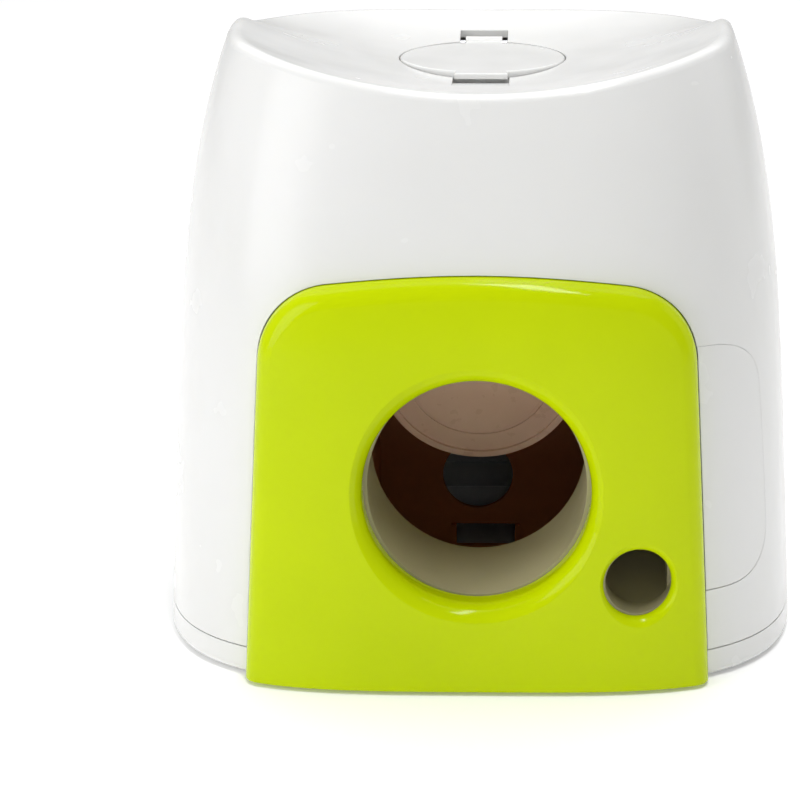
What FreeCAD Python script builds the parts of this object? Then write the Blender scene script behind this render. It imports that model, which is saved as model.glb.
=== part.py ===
"""Ball-and-treat machine for dogs: a parametric FreeCAD document.

Millimetres. +X is the machine's left-to-right axis seen from the front, -Y is the front, +Z is up.
The origin lies on the floor, under the middle of the body.
A ball pushed up the tunnel swings a hanging paddle. The paddle turns a toothed sector, the sector
turns a pinion and a pocketed drum, and the drum drops treats from a hopper into a chute.
"""
import FreeCAD, Part
import math
import os
import re

import Sketcher
from FreeCAD import Placement, Rotation, Vector

SIZES = {
    # body hull: a superellipse in plan that narrows towards the top
    "body_half_width": 121.2,
    "front_depth": 110.5,
    "rear_depth": 116.0,
    "plan_power": 3.2,
    "side_draft": 0.049,
    "shoulder_pull": 16.3,
    "shoulder_power": 4.8,
    "shoulder_height": 230.0,
    "shell_wall": 3.0,
    "foot_height": 1.2,
    "tray_floor": 2.8,
    "seam_height": 11.0,
    "seam_gap": 0.4,
    "tray_edge_round": 2.4,
    "lip_height": 4.0,
    "lip_wall": 1.6,
    # saddle-shaped dish on top: its sides rise less towards the rear
    "dish_height": 208.0,
    "dish_radius_across": 212.0,
    "dish_radius_along": 428.0,
    "dish_fade": 45.0,
    "dish_wall": 3.0,
    "rim_round": 4.0,
    # common clearances
    "seat_gap": 0.3,
    "fixed_fit": 0.03,
    "running_fit": 0.05,
    "opening_gap": 0.5,
    # lime front panel
    "panel_proud": 5.5,
    "panel_power": 3.7,
    "panel_half_base": 85.4,
    "panel_half_head": 77.8,
    "panel_base": 1.6,
    "panel_side_head": 145.5,
    "panel_crown": 8.5,
    "panel_corner_round": 30.0,
    "panel_skin": 4.0,
    "panel_side_wall": 2.8,
    "panel_edge_round": 8.0,
    "ledge_depth": 2.2,
    "ledge_reach": 7.0,
    "ledge_cover": 4.0,
    "panel_screw_low": 30.0,
    "panel_screw_high": 118.0,
    "panel_screw_inset": 4.2,
    "panel_boss_length": 27.0,
    "panel_pad_depth": 6.6,
    # ball tunnel
    "ball_opening_radius": 41.5,
    "ball_opening_height": 75.0,
    "flare_round": 8.0,
    "ball_collar_depth": 15.0,
    "ball_collar_wall": 2.5,
    "lip_turn": 70.0,
    "tunnel_radius": 40.0,
    "tunnel_wall": 2.5,
    "tunnel_slope": 10.0,
    "tunnel_drop": 0.5,
    "tunnel_end": -65.0,
    "tunnel_flange": 2.5,
    "tunnel_flange_low": 36.5,
    "tunnel_flange_high": 134.0,
    # treat outlet
    "outlet_across": 59.0,
    "outlet_height": 41.8,
    "outlet_radius": 12.6,
    "outlet_lip_round": 4.0,
    "outlet_tube_radius": 12.3,
    "outlet_tube_wall": 1.8,
    "outlet_tube_end": -97.0,
    # chassis
    "plate_inner": 41.8,
    "plate_wall": 2.5,
    "plate_rear": 42.0,
    "plate_shoulder_height": 150.0,
    "plate_head": 172.0,
    "plate_head_half": 27.0,
    "plate_rear_head": 118.0,
    "plate_foot_height": 8.0,
    "plate_foot_width": 10.0,
    "plate_foot_front": -42.0,
    "plate_foot_back": 30.0,
    "plate_ear_low": 94.0,
    "plate_ear_high": 130.0,
    "plate_ear_width": 10.5,
    "back_plate_front": 28.0,
    "back_plate_head": 116.0,
    "back_hole_radius": 14.3,
    "back_hole_across": -2.0,
    "back_hole_height": 37.0,
    "back_slot_half": 12.0,
    "back_slot_across": 1.2,
    "back_slot_low": 6.5,
    "back_slot_high": 16.0,
    "back_post_width": 2.2,
    "back_post_depth": 2.0,
    "back_return": 11.0,
    # paddle
    "paddle_radius": 37.0,
    "paddle_drop": 41.6,
    "paddle_wall": 3.0,
    "paddle_rim_width": 2.4,
    "paddle_rim_proud": 1.2,
    "paddle_ring_radius": 26.5,
    "paddle_ring_width": 1.4,
    "paddle_ring_depth": 0.6,
    "paddle_tilt": 18.0,
    "paddle_shaft_height": 142.0,
    "paddle_hub_radius": 5.5,
    "paddle_hub_half": 16.0,
    "paddle_arm_half": 11.2,
    "paddle_rib_depth": 4.0,
    "paddle_rib_wall": 2.0,
    # shafts, bushes, clips
    "shaft_radius": 3.0,
    "shaft_right_end": 48.0,
    "shaft_left_end": -60.0,
    "bush_radius": 5.0,
    "bush_flange_radius": 7.5,
    "bush_flange": 1.2,
    "bush_tail": 1.2,
    "clip_radius": 5.4,
    "clip_wall": 0.8,
    "clip_groove": 0.5,
    "clip_mouth_half": 1.8,
    # gear train
    "tooth_module": 1.0,
    "sector_teeth": 100.0,
    "pinion_teeth": 20.0,
    "pressure_angle": 20.0,
    "tooth_backlash": 0.2,
    "tooth_root_depth": 1.25,
    "sector_low_angle": -30.0,
    "sector_high_angle": 14.0,
    "sector_window_radius": 5.3,
    "sector_window_reach": 30.2,
    "gear_inner": -50.0,
    "gear_width": 6.0,
    "gear_hub_radius": 7.5,
    "gear_hub_reach": 1.5,
    "pinion_overlap": 0.6,
    # drum and its housing
    "drum_height": 146.0,
    "drum_radius": 21.5,
    "drum_gap": 0.5,
    "drum_pocket_half": 8.5,
    "drum_pocket_floor": 9.0,
    "drum_end_wall": 2.0,
    "housing_wall": 2.0,
    "housing_left": 13.5,
    "housing_ear_angle": 30.0,
    "inlet_across": 27.5,
    "inlet_radius": 10.0,
    "inlet_wall": 1.6,
    "inlet_top": 174.0,
    "spout_front": 1.5,
    "spout_rear": 27.0,
    "spout_wall": 1.6,
    "spout_reach": 46.2,
    "spout_end_height": 104.0,
    "spout_slope": 30.0,
    "spout_mouth_top": 124.0,
    # hopper
    "hopper_radius": 31.5,
    "hopper_wall": 1.6,
    "hopper_top": 200.0,
    "hopper_flange": 2.5,
    "hopper_flange_radius": 40.0,
    "hopper_ear_radius": 5.0,
    "hopper_cone_foot": 177.0,
    "hopper_spout_end": 170.5,
    "hopper_screw_circle": 42.5,
    "hopper_screw_angle": 45.0,
    # lid
    "lid_along": 20.0,
    "lid_radius": 32.0,
    "lid_top": 210.8,
    "lid_wall": 2.8,
    "lid_edge_round": 0.9,
    "lid_skirt_wall": 2.2,
    "lid_skirt_end": 205.8,
    "lid_tab_half": 10.1,
    "lid_tab_reach": 3.4,
    "lid_tab_wall": 2.2,
    "recess_half": 10.7,
    "recess_slope": 8.0,
    "recess_floor": 206.2,
    "recess_wall": 2.0,
    "collar_wall": 2.5,
    "ledge_ring_reach": 3.4,
    "hinge_along": 59.0,
    "hinge_height": 208.9,
    "hinge_pin_radius": 1.5,
    "hinge_pin_half": 14.0,
    "knuckle_radius": 3.0,
    "knuckle_half": 7.3,
    "window_half_width": 9.5,
    "window_reach": 7.0,
    "arm_top": 210.4,
    "arm_wall": 2.6,
    # treat chute
    "chute_wall": 1.6,
    "chute_rear": 29.0,
    "chute_rear_height": 93.0,
    "chute_front": -97.0,
    "chute_side": 15.0,
    "chute_gate": 4.0,
    "chute_ear_front": -32.0,
    "chute_ear_rear": -10.0,
    # side cover by the front right corner
    "cover_rear": -72.0,
    "cover_low": 34.5,
    "cover_high": 126.0,
    "cover_corner_round": 19.0,
    "cover_seam": 0.08,
    "cover_foot_seam": 0.35,
    "cover_ledge_reach": 5.0,
    # rubber and steel small parts
    "foot_radius": 8.0,
    "foot_across": 62.0,
    "foot_front": -74.0,
    "foot_back": 80.0,
    "foot_plug_radius": 3.0,
    "foot_plug_height": 2.2,
    "post_across": 84.0,
    "post_front": -58.0,
    "post_back": 80.0,
    "post_radius": 6.0,
    "post_top": 70.0,
    "post_joint": 11.6,
    "rib_wall": 3.0,
    "screw_radius": 1.5,
    "screw_head_radius": 2.9,
    "screw_head": 2.0,
    "screw_length": 12.0,
    "short_screw_length": 6.0,
    "screw_tip_gap": 1.0,
    "screw_cross_width": 0.8,
    "screw_cross_depth": 1.0,
    "screw_cross_reach": 1.75,
    "spring_radius": 4.0,
    "spring_wire_radius": 0.6,
    "spring_pitch": 1.9,
    "spring_turns": 6.0,
    "spring_leg_rise": 8.0,
    "spring_leg_drop": 16.0,
    "stop_width": 6.0,
    "stop_low": 124.5,
    "stop_high": 129.0,
    "stop_across": 11.0,
}

document = FreeCAD.newDocument("ball_and_treat_machine")
sheet = document.addObject("Spreadsheet::Sheet", "Sizes")
for row, (alias, number) in enumerate(SIZES.items(), start=1):
    sheet.set(f"A{row}", alias)
    sheet.set(f"B{row}", str(number))
    sheet.setAlias(f"B{row}", alias)
document.recompute()

AXIS = {"x": Vector(1, 0, 0), "y": Vector(0, 1, 0), "z": Vector(0, 0, 1)}
PIECES = {}
GEAR_CENTRES = "tooth_module * (sector_teeth + pinion_teeth) / 2"
PADDLE_ALONG = f"-sqrt(({GEAR_CENTRES})^2 - (drum_height - paddle_shaft_height)^2)"
PLATE_OUTER = "plate_inner + plate_wall"
CHUTE_LEFT = f"({PLATE_OUTER} + seat_gap)"
CHUTE_RIGHT = "(outlet_across + outlet_tube_radius)"
HOPPER_CENTRE = ("0", "lid_along")
SPOUT_UNDERSIDE = "(spout_end_height - spout_wall)"
SPRING_ANCHOR = (f"{PADDLE_ALONG} + spring_radius * cos(paddle_tilt) - spring_leg_rise * sin(paddle_tilt)",
                 "paddle_shaft_height + spring_radius * sin(paddle_tilt) + spring_leg_rise * cos(paddle_tilt)")
SECTOR_SEAM = 90.0
PLAN_POINTS = 40
DISH_POINTS = 13
FLANK_STEPS = 4
HULL_SECTIONS = 7
HULL_BASE = -2.0
HULL_HEAD = 236.0
TOLERANCE = 0.01


def size(alias):
    """The number that the sheet holds under an alias."""
    return float(sheet.get(alias))


def bound(text):
    """An expression's text with each size name pointing at the sheet."""
    def pointed(word):
        return f"Sizes.{word.group()}" if word.group() in SIZES else word.group()

    return re.sub(r"[a-z][a-z_]+", pointed, text)


def tie(item, prop, text):
    """Binds one property of an object to an expression of sizes."""
    item.setExpression(prop, bound(text))


def piece(name, item):
    """Names an object as a finished sub-part of the machine."""
    item.Label = name
    PIECES[name] = item
    return item


# ---------------------------------------------------------------- primitives and booleans


def block(name, across, along, upward):
    """A box between two bounds on each axis."""
    item = document.addObject("Part::Box", name)
    sides = (("Length", "x", across), ("Width", "y", along), ("Height", "z", upward))
    for prop, letter, (low, high) in sides:
        tie(item, prop, f"({high}) - ({low})")
        tie(item, f"Placement.Base.{letter}", low)
    return item


def rod(name, axis, radius, span, centre):
    """A cylinder along an axis, from one end to the other, at a place across it."""
    item = document.addObject("Part::Cylinder", name)
    item.Placement = Placement(Vector(), Rotation(AXIS["z"], AXIS[axis]))
    tie(item, "Radius", radius)
    tie(item, "Height", f"({span[1]}) - ({span[0]})")
    place = dict(zip((letter for letter in "xyz" if letter != axis), centre))
    place[axis] = span[0]
    for letter, text in place.items():
        tie(item, f"Placement.Base.{letter}", text)
    return item


def fused(name, *items):
    """One solid out of several that overlap."""
    item = document.addObject("Part::MultiFuse", name)
    item.Shapes = list(items)
    return item


def cut(name, base, *tools):
    """A base with one or more tools taken out."""
    item = document.addObject("Part::Cut", name)
    item.Base = base
    item.Tool = tools[0] if len(tools) == 1 else fused(f"{name}_tools", *tools)
    return item


def overlap(name, *items):
    """What several solids have in common."""
    item = document.addObject("Part::MultiCommon", name)
    item.Shapes = list(items)
    return item


def group(name, items):
    """Separate equal solids that share one name."""
    item = document.addObject("Part::Compound", name)
    item.Links = list(items)
    return item


def solid(name, shape):
    """A solid that is worked out from the sheet's sizes."""
    item = document.addObject("Part::Feature", name)
    item.Shape = shape
    return item


# ---------------------------------------------------------------- bodies and sketches


def new_body(name):
    """An empty body."""
    return document.addObject("PartDesign::Body", name)


def sketch_on(body, plane, name, offset="0"):
    """A sketch on one of its body's own origin planes, moved along the plane's normal."""
    item = body.newObject("Sketcher::SketchObject", name)
    support = [face for face in body.Origin.OriginFeatures if face.Role == plane][0]
    item.AttachmentSupport = [(support, "")]
    item.MapMode = "FlatFace"
    tie(item, "AttachmentOffset.Base.z", offset)
    return item


def pin_point(item, edge, corner, place):
    """Ties a sketch point to a place given by two expressions."""
    for kind, text in zip(("DistanceX", "DistanceY"), place):
        number = item.addConstraint(Sketcher.Constraint(kind, -1, 1, edge, corner, 1.0))
        tie(item, f"Constraints[{number}]", text)


def outline(item, corners):
    """A closed outline of straight lines through corners given by expressions."""
    points = [Vector(*(item.evalExpression(bound(text)) for text in corner), 0) for corner in corners]
    first = item.GeometryCount
    for start, end in zip(points, points[1:] + points[:1]):
        item.addGeometry(Part.LineSegment(start, end))
    for step in range(len(points)):
        after = first + (step + 1) % len(points)
        item.addConstraint(Sketcher.Constraint("Coincident", first + step, 2, after, 1))
    for step, corner in enumerate(corners):
        pin_point(item, first + step, 1, corner)


def circle(item, radius, centre=("0", "0")):
    """A circle whose radius and centre are expressions."""
    place = Vector(*(item.evalExpression(bound(text)) for text in centre), 0)
    edge = item.addGeometry(Part.Circle(place, AXIS["z"], item.evalExpression(bound(radius))))
    number = item.addConstraint(Sketcher.Constraint("Radius", edge, 1.0))
    tie(item, f"Constraints[{number}]", radius)
    pin_point(item, edge, 3, centre)


def pad(body, sketch, length, name, backwards=False):
    """Raises a sketch into a solid."""
    item = body.newObject("PartDesign::Pad", name)
    item.Profile = sketch
    item.Reversed = backwards
    tie(item, "Length", length)
    document.recompute()
    return item


def pocket(body, sketch, length, name, backwards=False):
    """Takes a sketch out of a solid, and makes sure that something was taken."""
    before = body.Shape.Volume
    item = body.newObject("PartDesign::Pocket", name)
    item.Profile = sketch
    item.Reversed = backwards
    tie(item, "Length", length)
    document.recompute()
    if not body.Shape.Volume < before:
        raise RuntimeError(f"{name} takes nothing away")
    return item


# ---------------------------------------------------------------- the body hull


def narrowing(height):
    """How much a half size of the hull has shrunk at a height."""
    shoulder = size("shoulder_pull") * (max(height, 0) / size("shoulder_height")) ** size("shoulder_power")
    return size("side_draft") * height + shoulder


def plan_wire(height, grow, power, front_extra):
    """The hull's outline at a height: a smooth closed curve, flat-sided with round corners."""
    across = size("body_half_width") - narrowing(height) + grow
    depth = {False: size("rear_depth"), True: size("front_depth") + front_extra}
    points = []
    for step in range(PLAN_POINTS):
        turn = math.radians(90 + 360 * step / PLAN_POINTS)
        along = depth[math.sin(turn) < 0] - narrowing(height) + grow
        cosine = math.copysign(abs(math.cos(turn)) ** (2 / power), math.cos(turn))
        sine = math.copysign(abs(math.sin(turn)) ** (2 / power), math.sin(turn))
        points.append(Vector(across * cosine, along * sine, height))
    curve = Part.BSplineCurve()
    curve.interpolate(Points=points, PeriodicFlag=True)
    return Part.Wire([curve.toShape()])


def hull(grow=0.0, power="plan_power", front_extra=0.0):
    """The body's outer form from below the floor to above the rim, grown or shrunk evenly."""
    step = (HULL_HEAD - HULL_BASE) / (HULL_SECTIONS - 1)
    heights = [HULL_BASE + step * number for number in range(HULL_SECTIONS)]
    return Part.makeLoft([plan_wire(height, grow, size(power), front_extra) for height in heights], True)


def slab(low, high):
    """A box between two heights that is wider than the machine."""
    reach = 2 * size("body_half_width")
    return Part.makeBox(2 * reach, 2 * reach, high - low, Vector(-reach, -reach, low))


def hull_front(across, height, grow=0.0, power="plan_power", front_extra=0.0):
    """Where the hull's front lies along Y, beside the middle and at a height."""
    half = size("body_half_width") - narrowing(height) + grow
    depth = size("front_depth") + front_extra - narrowing(height) + grow
    return -depth * (1 - abs(across / half) ** size(power)) ** (1 / size(power))


def dish_level(across, along):
    """The height of the saddle: an arc across whose rise fades to the rear, on an arc along."""
    wide, deep = size("dish_radius_across"), size("dish_radius_along")
    fade = 1 + (max(along, 0) / size("dish_fade")) ** 2
    rise = (wide - math.sqrt(wide ** 2 - across ** 2)) / fade
    return size("dish_height") + rise + deep - math.sqrt(deep ** 2 - along ** 2)


def dish(lower=0.0):
    """The space over the saddle that hollows the top, lowered to leave a wall below it."""
    reach = size("body_half_width")
    places = [reach * (2 * step / (DISH_POINTS - 1) - 1) for step in range(DISH_POINTS)]
    saddle = Part.BSplineSurface()
    saddle.interpolate([[Vector(x, y, dish_level(x, y) - lower) for y in places] for x in places])
    return saddle.toShape().extrude(Vector(0, 0, HULL_HEAD))


def panel_prism(grow=0.0, drop=0.0):
    """The front panel's outline, pulled through the front of the body."""
    foot = size("panel_base") - grow - drop
    head = size("panel_side_head") + grow
    crown = head + size("panel_crown")
    base_half = size("panel_half_base") + grow
    head_half = size("panel_half_head") + grow
    corners = [Vector(-base_half, 0, foot), Vector(base_half, 0, foot), Vector(head_half, 0, head)]
    far_corner = Vector(-head_half, 0, head)
    edges = [Part.makeLine(corners[0], corners[1]), Part.makeLine(corners[1], corners[2])]
    edges.append(Part.Arc(corners[2], Vector(0, 0, crown), far_corner).toShape())
    edges.append(Part.makeLine(far_corner, corners[0]))
    prism = Part.Face(Part.Wire(edges)).extrude(Vector(0, -2 * size("rear_depth"), 0))
    upper = [edge for edge in prism.Edges if is_along(edge, "y") and edge.BoundBox.ZMin > head / 2]
    return prism.makeFillet(size("panel_corner_round") + grow, upper)


def cover_prism(grow=0.0):
    """The side cover's outline, pulled out through the right side of the body."""
    low, high = size("cover_low") - grow, size("cover_high") + grow
    rear = size("cover_rear") + grow
    front = -2 * size("front_depth")
    corner = Vector(size("panel_half_head") / 2, front, low)
    prism = Part.makeBox(2 * size("body_half_width"), rear - front, high - low, corner)
    rear_edges = [edge for edge in prism.Edges if is_along(edge, "x") and edge.BoundBox.YMin > rear - 1]
    return prism.makeFillet(size("cover_corner_round") + grow, rear_edges)


def is_along(edge, letter):
    """Whether a straight edge runs along an axis."""
    if edge.Curve.TypeId != "Part::GeomLine":
        return False
    return abs(edge.Curve.Direction.dot(AXIS[letter])) > 1 - TOLERANCE


def recessed(wall, clear, frame, window):
    """A wall with a seat for a cover: open to the wall's depth, with a ledge behind its edge."""
    inside = hull(-size("shell_wall"))
    ledge = inside.cut(hull(-size("shell_wall") - size("ledge_depth"))).common(frame)
    return wall.cut(clear.cut(inside)).fuse(ledge).cut(window)


# ---------------------------------------------------------------- casing


def make_casing():
    """Shell, tray, front panel and side cover: skins of one hull, each with its seat."""
    wall, gap = size("shell_wall"), size("seat_gap")
    inside = hull(-wall)
    panel_seat = panel_prism(gap)
    piece("base_tray", solid("BaseTray", tray_shape(inside)))
    shell = shell_blank(inside)
    above_lip = slab(size("seam_height") + size("lip_height") + gap, HULL_HEAD)
    panel_frame = panel_prism(size("ledge_cover")).common(above_lip)
    shell = recessed(shell, panel_seat, panel_frame, panel_prism(-size("ledge_reach")))
    cover_frame = cover_prism(size("ledge_cover")).cut(panel_seat)
    cover_window = cover_prism(-size("cover_ledge_reach")).cut(panel_prism(size("ledge_cover") + gap))
    cover_seat = cover_prism(size("cover_seam"))
    wider_foot = cover_seat.translated(Vector(0, 0, size("cover_seam") - size("cover_foot_seam")))
    shell = recessed(shell, cover_seat.fuse(wider_foot), cover_frame, cover_window)
    piece("outer_shell", solid("OuterShell", with_posts_and_pads(with_dish_fittings(shell))))
    piece("front_panel", solid("FrontPanel", panel_shape()))
    skin = hull().cut(hull(-wall + gap)).common(cover_prism())
    clear = panel_prism(gap + size("cover_seam"))
    piece("side_cover", solid("SideCover", skin.cut(clear)))


def tray_shape(inside):
    """The floor tray: a shallow pan with a lip that locates the shell, bosses and foot sockets."""
    foot, seam, gap = size("foot_height"), size("seam_height"), size("seat_gap")
    floor = foot + size("tray_floor")
    tray = hull().common(slab(foot, seam))
    tray = tray.makeFillet(size("tray_edge_round"), level_edges(tray, foot))
    lip_inside = hull(-size("shell_wall") - gap - size("lip_wall"))
    lip = hull(-size("shell_wall") - gap).common(slab(seam - 1, seam + size("lip_height")))
    tray = tray.fuse(lip).cut(lip_inside.common(slab(floor, HULL_HEAD)))
    raised, taken = [], [panel_prism(gap, drop=2 * foot).cut(inside)]
    for across, along in post_places():
        raised.append(upright(size("post_radius"), across, along, foot, size("post_joint")))
        taken.append(upright(size("screw_radius") + size("running_fit"), across, along, 0, 2 * seam))
        head_room = foot + size("screw_head") + gap
        taken.append(upright(size("screw_head_radius") + gap, across, along, 0, head_room))
    for across, along in plate_foot_places():
        head = size("plate_foot_height")
        raised.append(upright(size("plate_foot_width") / 2 - gap, across, along, floor - 1, head))
        pilot = size("screw_radius") + size("fixed_fit")
        taken.append(upright(pilot, across, along, foot + size("tray_floor") / 2, head))
    for across, along in foot_places():
        radius = size("foot_plug_radius") + size("running_fit")
        taken.append(upright(radius, across, along, foot, foot + size("foot_plug_height")))
    return tray.fuse(raised).cut(taken)


def upright(radius, across, along, low, high):
    """A standing cylinder between two heights."""
    return Part.makeCylinder(radius, high - low, Vector(across, along, low))


def shell_blank(inside):
    """The hollow shell with its saddle-shaped top and rounded rim, before any opening."""
    blank = hull().common(slab(size("seam_height") + size("seam_gap"), HULL_HEAD)).cut(dish())
    rim = [edge for edge in blank.Edges if edge.optimalBoundingBox().ZMin > size("dish_height") + 1]
    blank = blank.makeFillet(size("rim_round"), rim)
    return blank.cut(inside.cut(dish(size("dish_wall"))))


def with_dish_fittings(shell):
    """Adds the lid's opening with its collar, the finger scoop, the hinge's seat and the hopper's bosses."""
    wall, base, along = size("collar_wall"), size("hopper_top"), size("lid_along")
    opening, tall = size("lid_radius") + size("opening_gap"), HULL_HEAD - base
    under_dish = slab(base, HULL_HEAD).cut(dish(size("seat_gap")))
    boss = size("screw_head_radius") + wall
    raised = [upright(opening + wall, 0, along, base, HULL_HEAD), scoop(size("recess_wall")), hinge_ears()]
    raised += [upright(boss, *place, base, HULL_HEAD) for place in hopper_screw_places()]
    shell = shell.fuse([form.common(under_dish) for form in raised])
    shell = shell.cut(upright(opening, 0, along, base, HULL_HEAD))
    ledge_top = size("lid_skirt_end") - size("seat_gap")
    ring = upright(opening + wall / 2, 0, along, ledge_top - wall, ledge_top)
    shell = shell.fuse(ring.cut(upright(opening - size("ledge_ring_reach"), 0, along, base, HULL_HEAD)))
    half, rear = size("window_half_width"), size("hinge_along") + size("window_reach")
    window_corner = Vector(-half, along + opening - wall, ledge_top)
    window = Part.makeBox(2 * half, rear - window_corner.y, tall, window_corner)
    pin_half = size("hinge_pin_half")
    pin_place = Vector(-pin_half, size("hinge_along"), size("hinge_height"))
    pin = Part.makeCylinder(size("hinge_pin_radius") + size("fixed_fit"), 2 * pin_half, pin_place, AXIS["x"])
    pilots = [upright(size("screw_radius") + size("fixed_fit"), *place, base, base + size("short_screw_length"))
              for place in hopper_screw_places()]
    return shell.cut([scoop(), window, pin, *pilots])


def scoop(wall=0.0):
    """The finger scoop before the lid's tab: a ramp that sinks to the rear, or the pan around it."""
    half, floor = size("recess_half") + wall, size("recess_floor") - wall
    rear = size("lid_along") - size("lid_radius") + size("collar_wall") - wall
    reach = size("lid_radius")
    rise = reach * math.tan(math.radians(size("recess_slope")))
    corners = [Vector(-half, rear, floor), Vector(-half, rear - reach - wall, floor + rise),
               Vector(-half, rear - reach - wall, HULL_HEAD), Vector(-half, rear, HULL_HEAD)]
    return Part.Face(Part.makePolygon([*corners, corners[0]])).extrude(Vector(2 * half, 0, 0))


def hinge_ears():
    """The block under the dish that holds both ends of the lid's hinge pin."""
    reach, radius = size("hinge_pin_half") + size("recess_wall"), size("knuckle_radius")
    corner = Vector(-reach, size("hinge_along") - radius, size("hinge_height") - radius)
    return Part.makeBox(2 * reach, 2 * radius, HULL_HEAD - size("hinge_height"), corner)


def with_posts_and_pads(shell):
    """Adds the screw posts, tied to the side walls by ribs, and the pads behind the panel's ledge."""
    wall, half_width = size("shell_wall"), size("body_half_width")
    low, high = size("post_joint"), size("post_top")
    rib_low = size("seam_height") + size("lip_height") + size("seat_gap")
    raised, taken, pads = [], [], []
    for across, along in post_places():
        raised.append(upright(size("post_radius"), across, along, low, high))
        rib_left = min(across, math.copysign(half_width, across))
        rib_start = Vector(rib_left, along - size("rib_wall") / 2, rib_low)
        raised.append(Part.makeBox(half_width - abs(across), size("rib_wall"), high - rib_low, rib_start))
        pilot = size("screw_radius") + size("fixed_fit")
        taken.append(upright(pilot, across, along, low, low + size("screw_length")))
    for across, height in panel_screw_places():
        rear, depth = panel_pad_rear(across, height), size("panel_pad_depth")
        head_room = size("screw_head_radius") + size("seat_gap")
        pads.append(level(head_room, across, height, rear - depth, rear))
        taken.append(level(size("screw_radius") + size("running_fit"), across, height, rear - 2 * depth, rear))
        taken.append(level(head_room, across, height, rear, rear + depth))
    raised = Part.makeCompound(raised).common(hull(-wall / 2))
    pads = Part.makeCompound(pads).common(hull(-wall))
    return shell.fuse([*raised.Solids, *pads.Solids]).cut(taken)


def level(radius, across, height, front, rear):
    """A lying cylinder that runs from front to rear."""
    return Part.makeCylinder(radius, rear - front, Vector(across, front, height), AXIS["y"])


def panel_shape():
    """The gloss front panel: a shallow tray with a broad rounded edge, two openings and a collar."""
    power, proud = "panel_power", size("panel_proud")
    back, skin = hull(size("seat_gap") - size("shell_wall")), size("panel_skin")
    face = panel_prism().common(hull(0, power, proud))
    front_edges = [edge for edge in face.Edges if is_front_edge(edge)]
    face = face.makeFillet(size("panel_edge_round"), front_edges)
    hollow = panel_prism(-size("panel_side_wall")).common(hull(-skin, power, proud))
    bosses, taken = [], panel_openings()
    boss_radius, length = size("screw_head_radius") + size("seat_gap"), size("panel_boss_length")
    for across, height in panel_screw_places():
        rear = panel_pad_rear(across, height)
        bosses.append(level(boss_radius, across, height, rear - length, rear))
        pilot_radius = size("screw_radius") + size("fixed_fit")
        taken.append(level(pilot_radius, across, height, rear - size("screw_length"), rear))
    bosses = Part.makeCompound(bosses).common(hull(-skin / 2, power, proud))
    return face.cut(hollow).fuse(bosses.Solids).cut(back).fuse(ball_collar()).cut(taken)


def panel_openings():
    """The tools that cut the flared ball opening and the small treat outlet."""
    treat_bore = bore_axis(size("outlet_across"), size("outlet_height"), size("outlet_radius"))
    return [flared_bore(*ball_bore(), size("ball_opening_radius"), size("flare_round")),
            flared_bore(*treat_bore, size("outlet_radius"), size("outlet_lip_round"))]


def panel_face(across, height):
    """Where the front panel's outer face lies along Y."""
    return hull_front(across, height, 0, "panel_power", size("panel_proud"))


def bore_axis(across, height, radius):
    """Where a bore's axis meets the panel's face, and its direction, square to that face."""
    left, right = (panel_face(across + side * radius, height) for side in (-1, 1))
    lower, upper = (panel_face(across, height + side * radius) for side in (-1, 1))
    inward = Vector((left - right) / (2 * radius), 1, (lower - upper) / (2 * radius))
    return Vector(across, (left + right + lower + upper) / 4, height), inward.normalize()


def ball_bore():
    """The ball opening's axis."""
    return bore_axis(0, size("ball_opening_height"), size("ball_opening_radius"))


def ball_collar():
    """The short tube behind the ball opening that covers the joint with the tunnel."""
    seat, inward = ball_bore()
    start = size("panel_skin") / 2
    radius = size("ball_opening_radius") + size("ball_collar_wall")
    return Part.makeCylinder(radius, size("ball_collar_depth") - start, seat + inward * start, inward)


def behind_ball_collar():
    """The space behind the collar's end, which bounds the tunnel's front."""
    seat, inward = ball_bore()
    start = seat + inward * (size("ball_collar_depth") + size("seat_gap"))
    return Part.makeCylinder(size("body_half_width"), size("front_depth"), start, inward)


def flared_bore(seat, inward, radius, lip_round):
    """A round tool, square to the panel's face, whose rim rolls outwards into that face."""
    turn, reach = math.radians(size("lip_turn")), size("panel_edge_round")
    arc = [Vector(radius + lip_round * (1 - math.cos(angle)), lip_round * (math.sin(turn) - math.sin(angle)), 0)
           for angle in (0, turn / 2, turn)]
    outer = arc[2] + Vector(math.sin(turn), -math.cos(turn), 0) * reach
    rear = size("front_depth") / 2
    corners = [arc[2], outer, Vector(0, outer.y, 0), Vector(0, rear, 0), Vector(radius, rear, 0), arc[0]]
    edges = [Part.Arc(*arc).toShape()] + [Part.makeLine(near, far) for near, far in zip(corners, corners[1:])]
    tool = Part.Face(Part.Wire(edges)).revolve(Vector(), AXIS["y"], 360)
    tool.Placement = Placement(seat, Rotation(AXIS["y"], inward))
    return tool


def is_front_edge(edge):
    """Whether an edge bounds the panel's front face, apart from its foot."""
    frame = edge.optimalBoundingBox()
    in_front = frame.YMax < -size("front_depth") / 2
    return in_front and frame.ZMax > size("panel_base") + 1 and not is_along(edge, "y")


def level_edges(shape, height):
    """The edges that lie flat at a height."""
    return [edge for edge in shape.Edges if abs(edge.optimalBoundingBox().ZMax - height) < TOLERANCE]


def post_places():
    """Where the four screw posts stand."""
    return [(side * size("post_across"), size(end)) for side in (-1, 1) for end in ("post_front", "post_back")]


def foot_places():
    """Where the four rubber feet are plugged in."""
    return [(side * size("foot_across"), size(end)) for side in (-1, 1) for end in ("foot_front", "foot_back")]


def plate_foot_places():
    """Where the chassis plates are screwed down on the tray."""
    across = size("plate_inner") + size("plate_wall") + size("plate_foot_width") / 2
    return [(side * across, size(end)) for side in (-1, 1) for end in ("plate_foot_front", "plate_foot_back")]


def hopper_screw_places():
    """Where the hopper's ears are screwed up into the dish."""
    return [(sheet_value(across), sheet_value(along)) for across, along in hopper_ear_places()]


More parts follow.
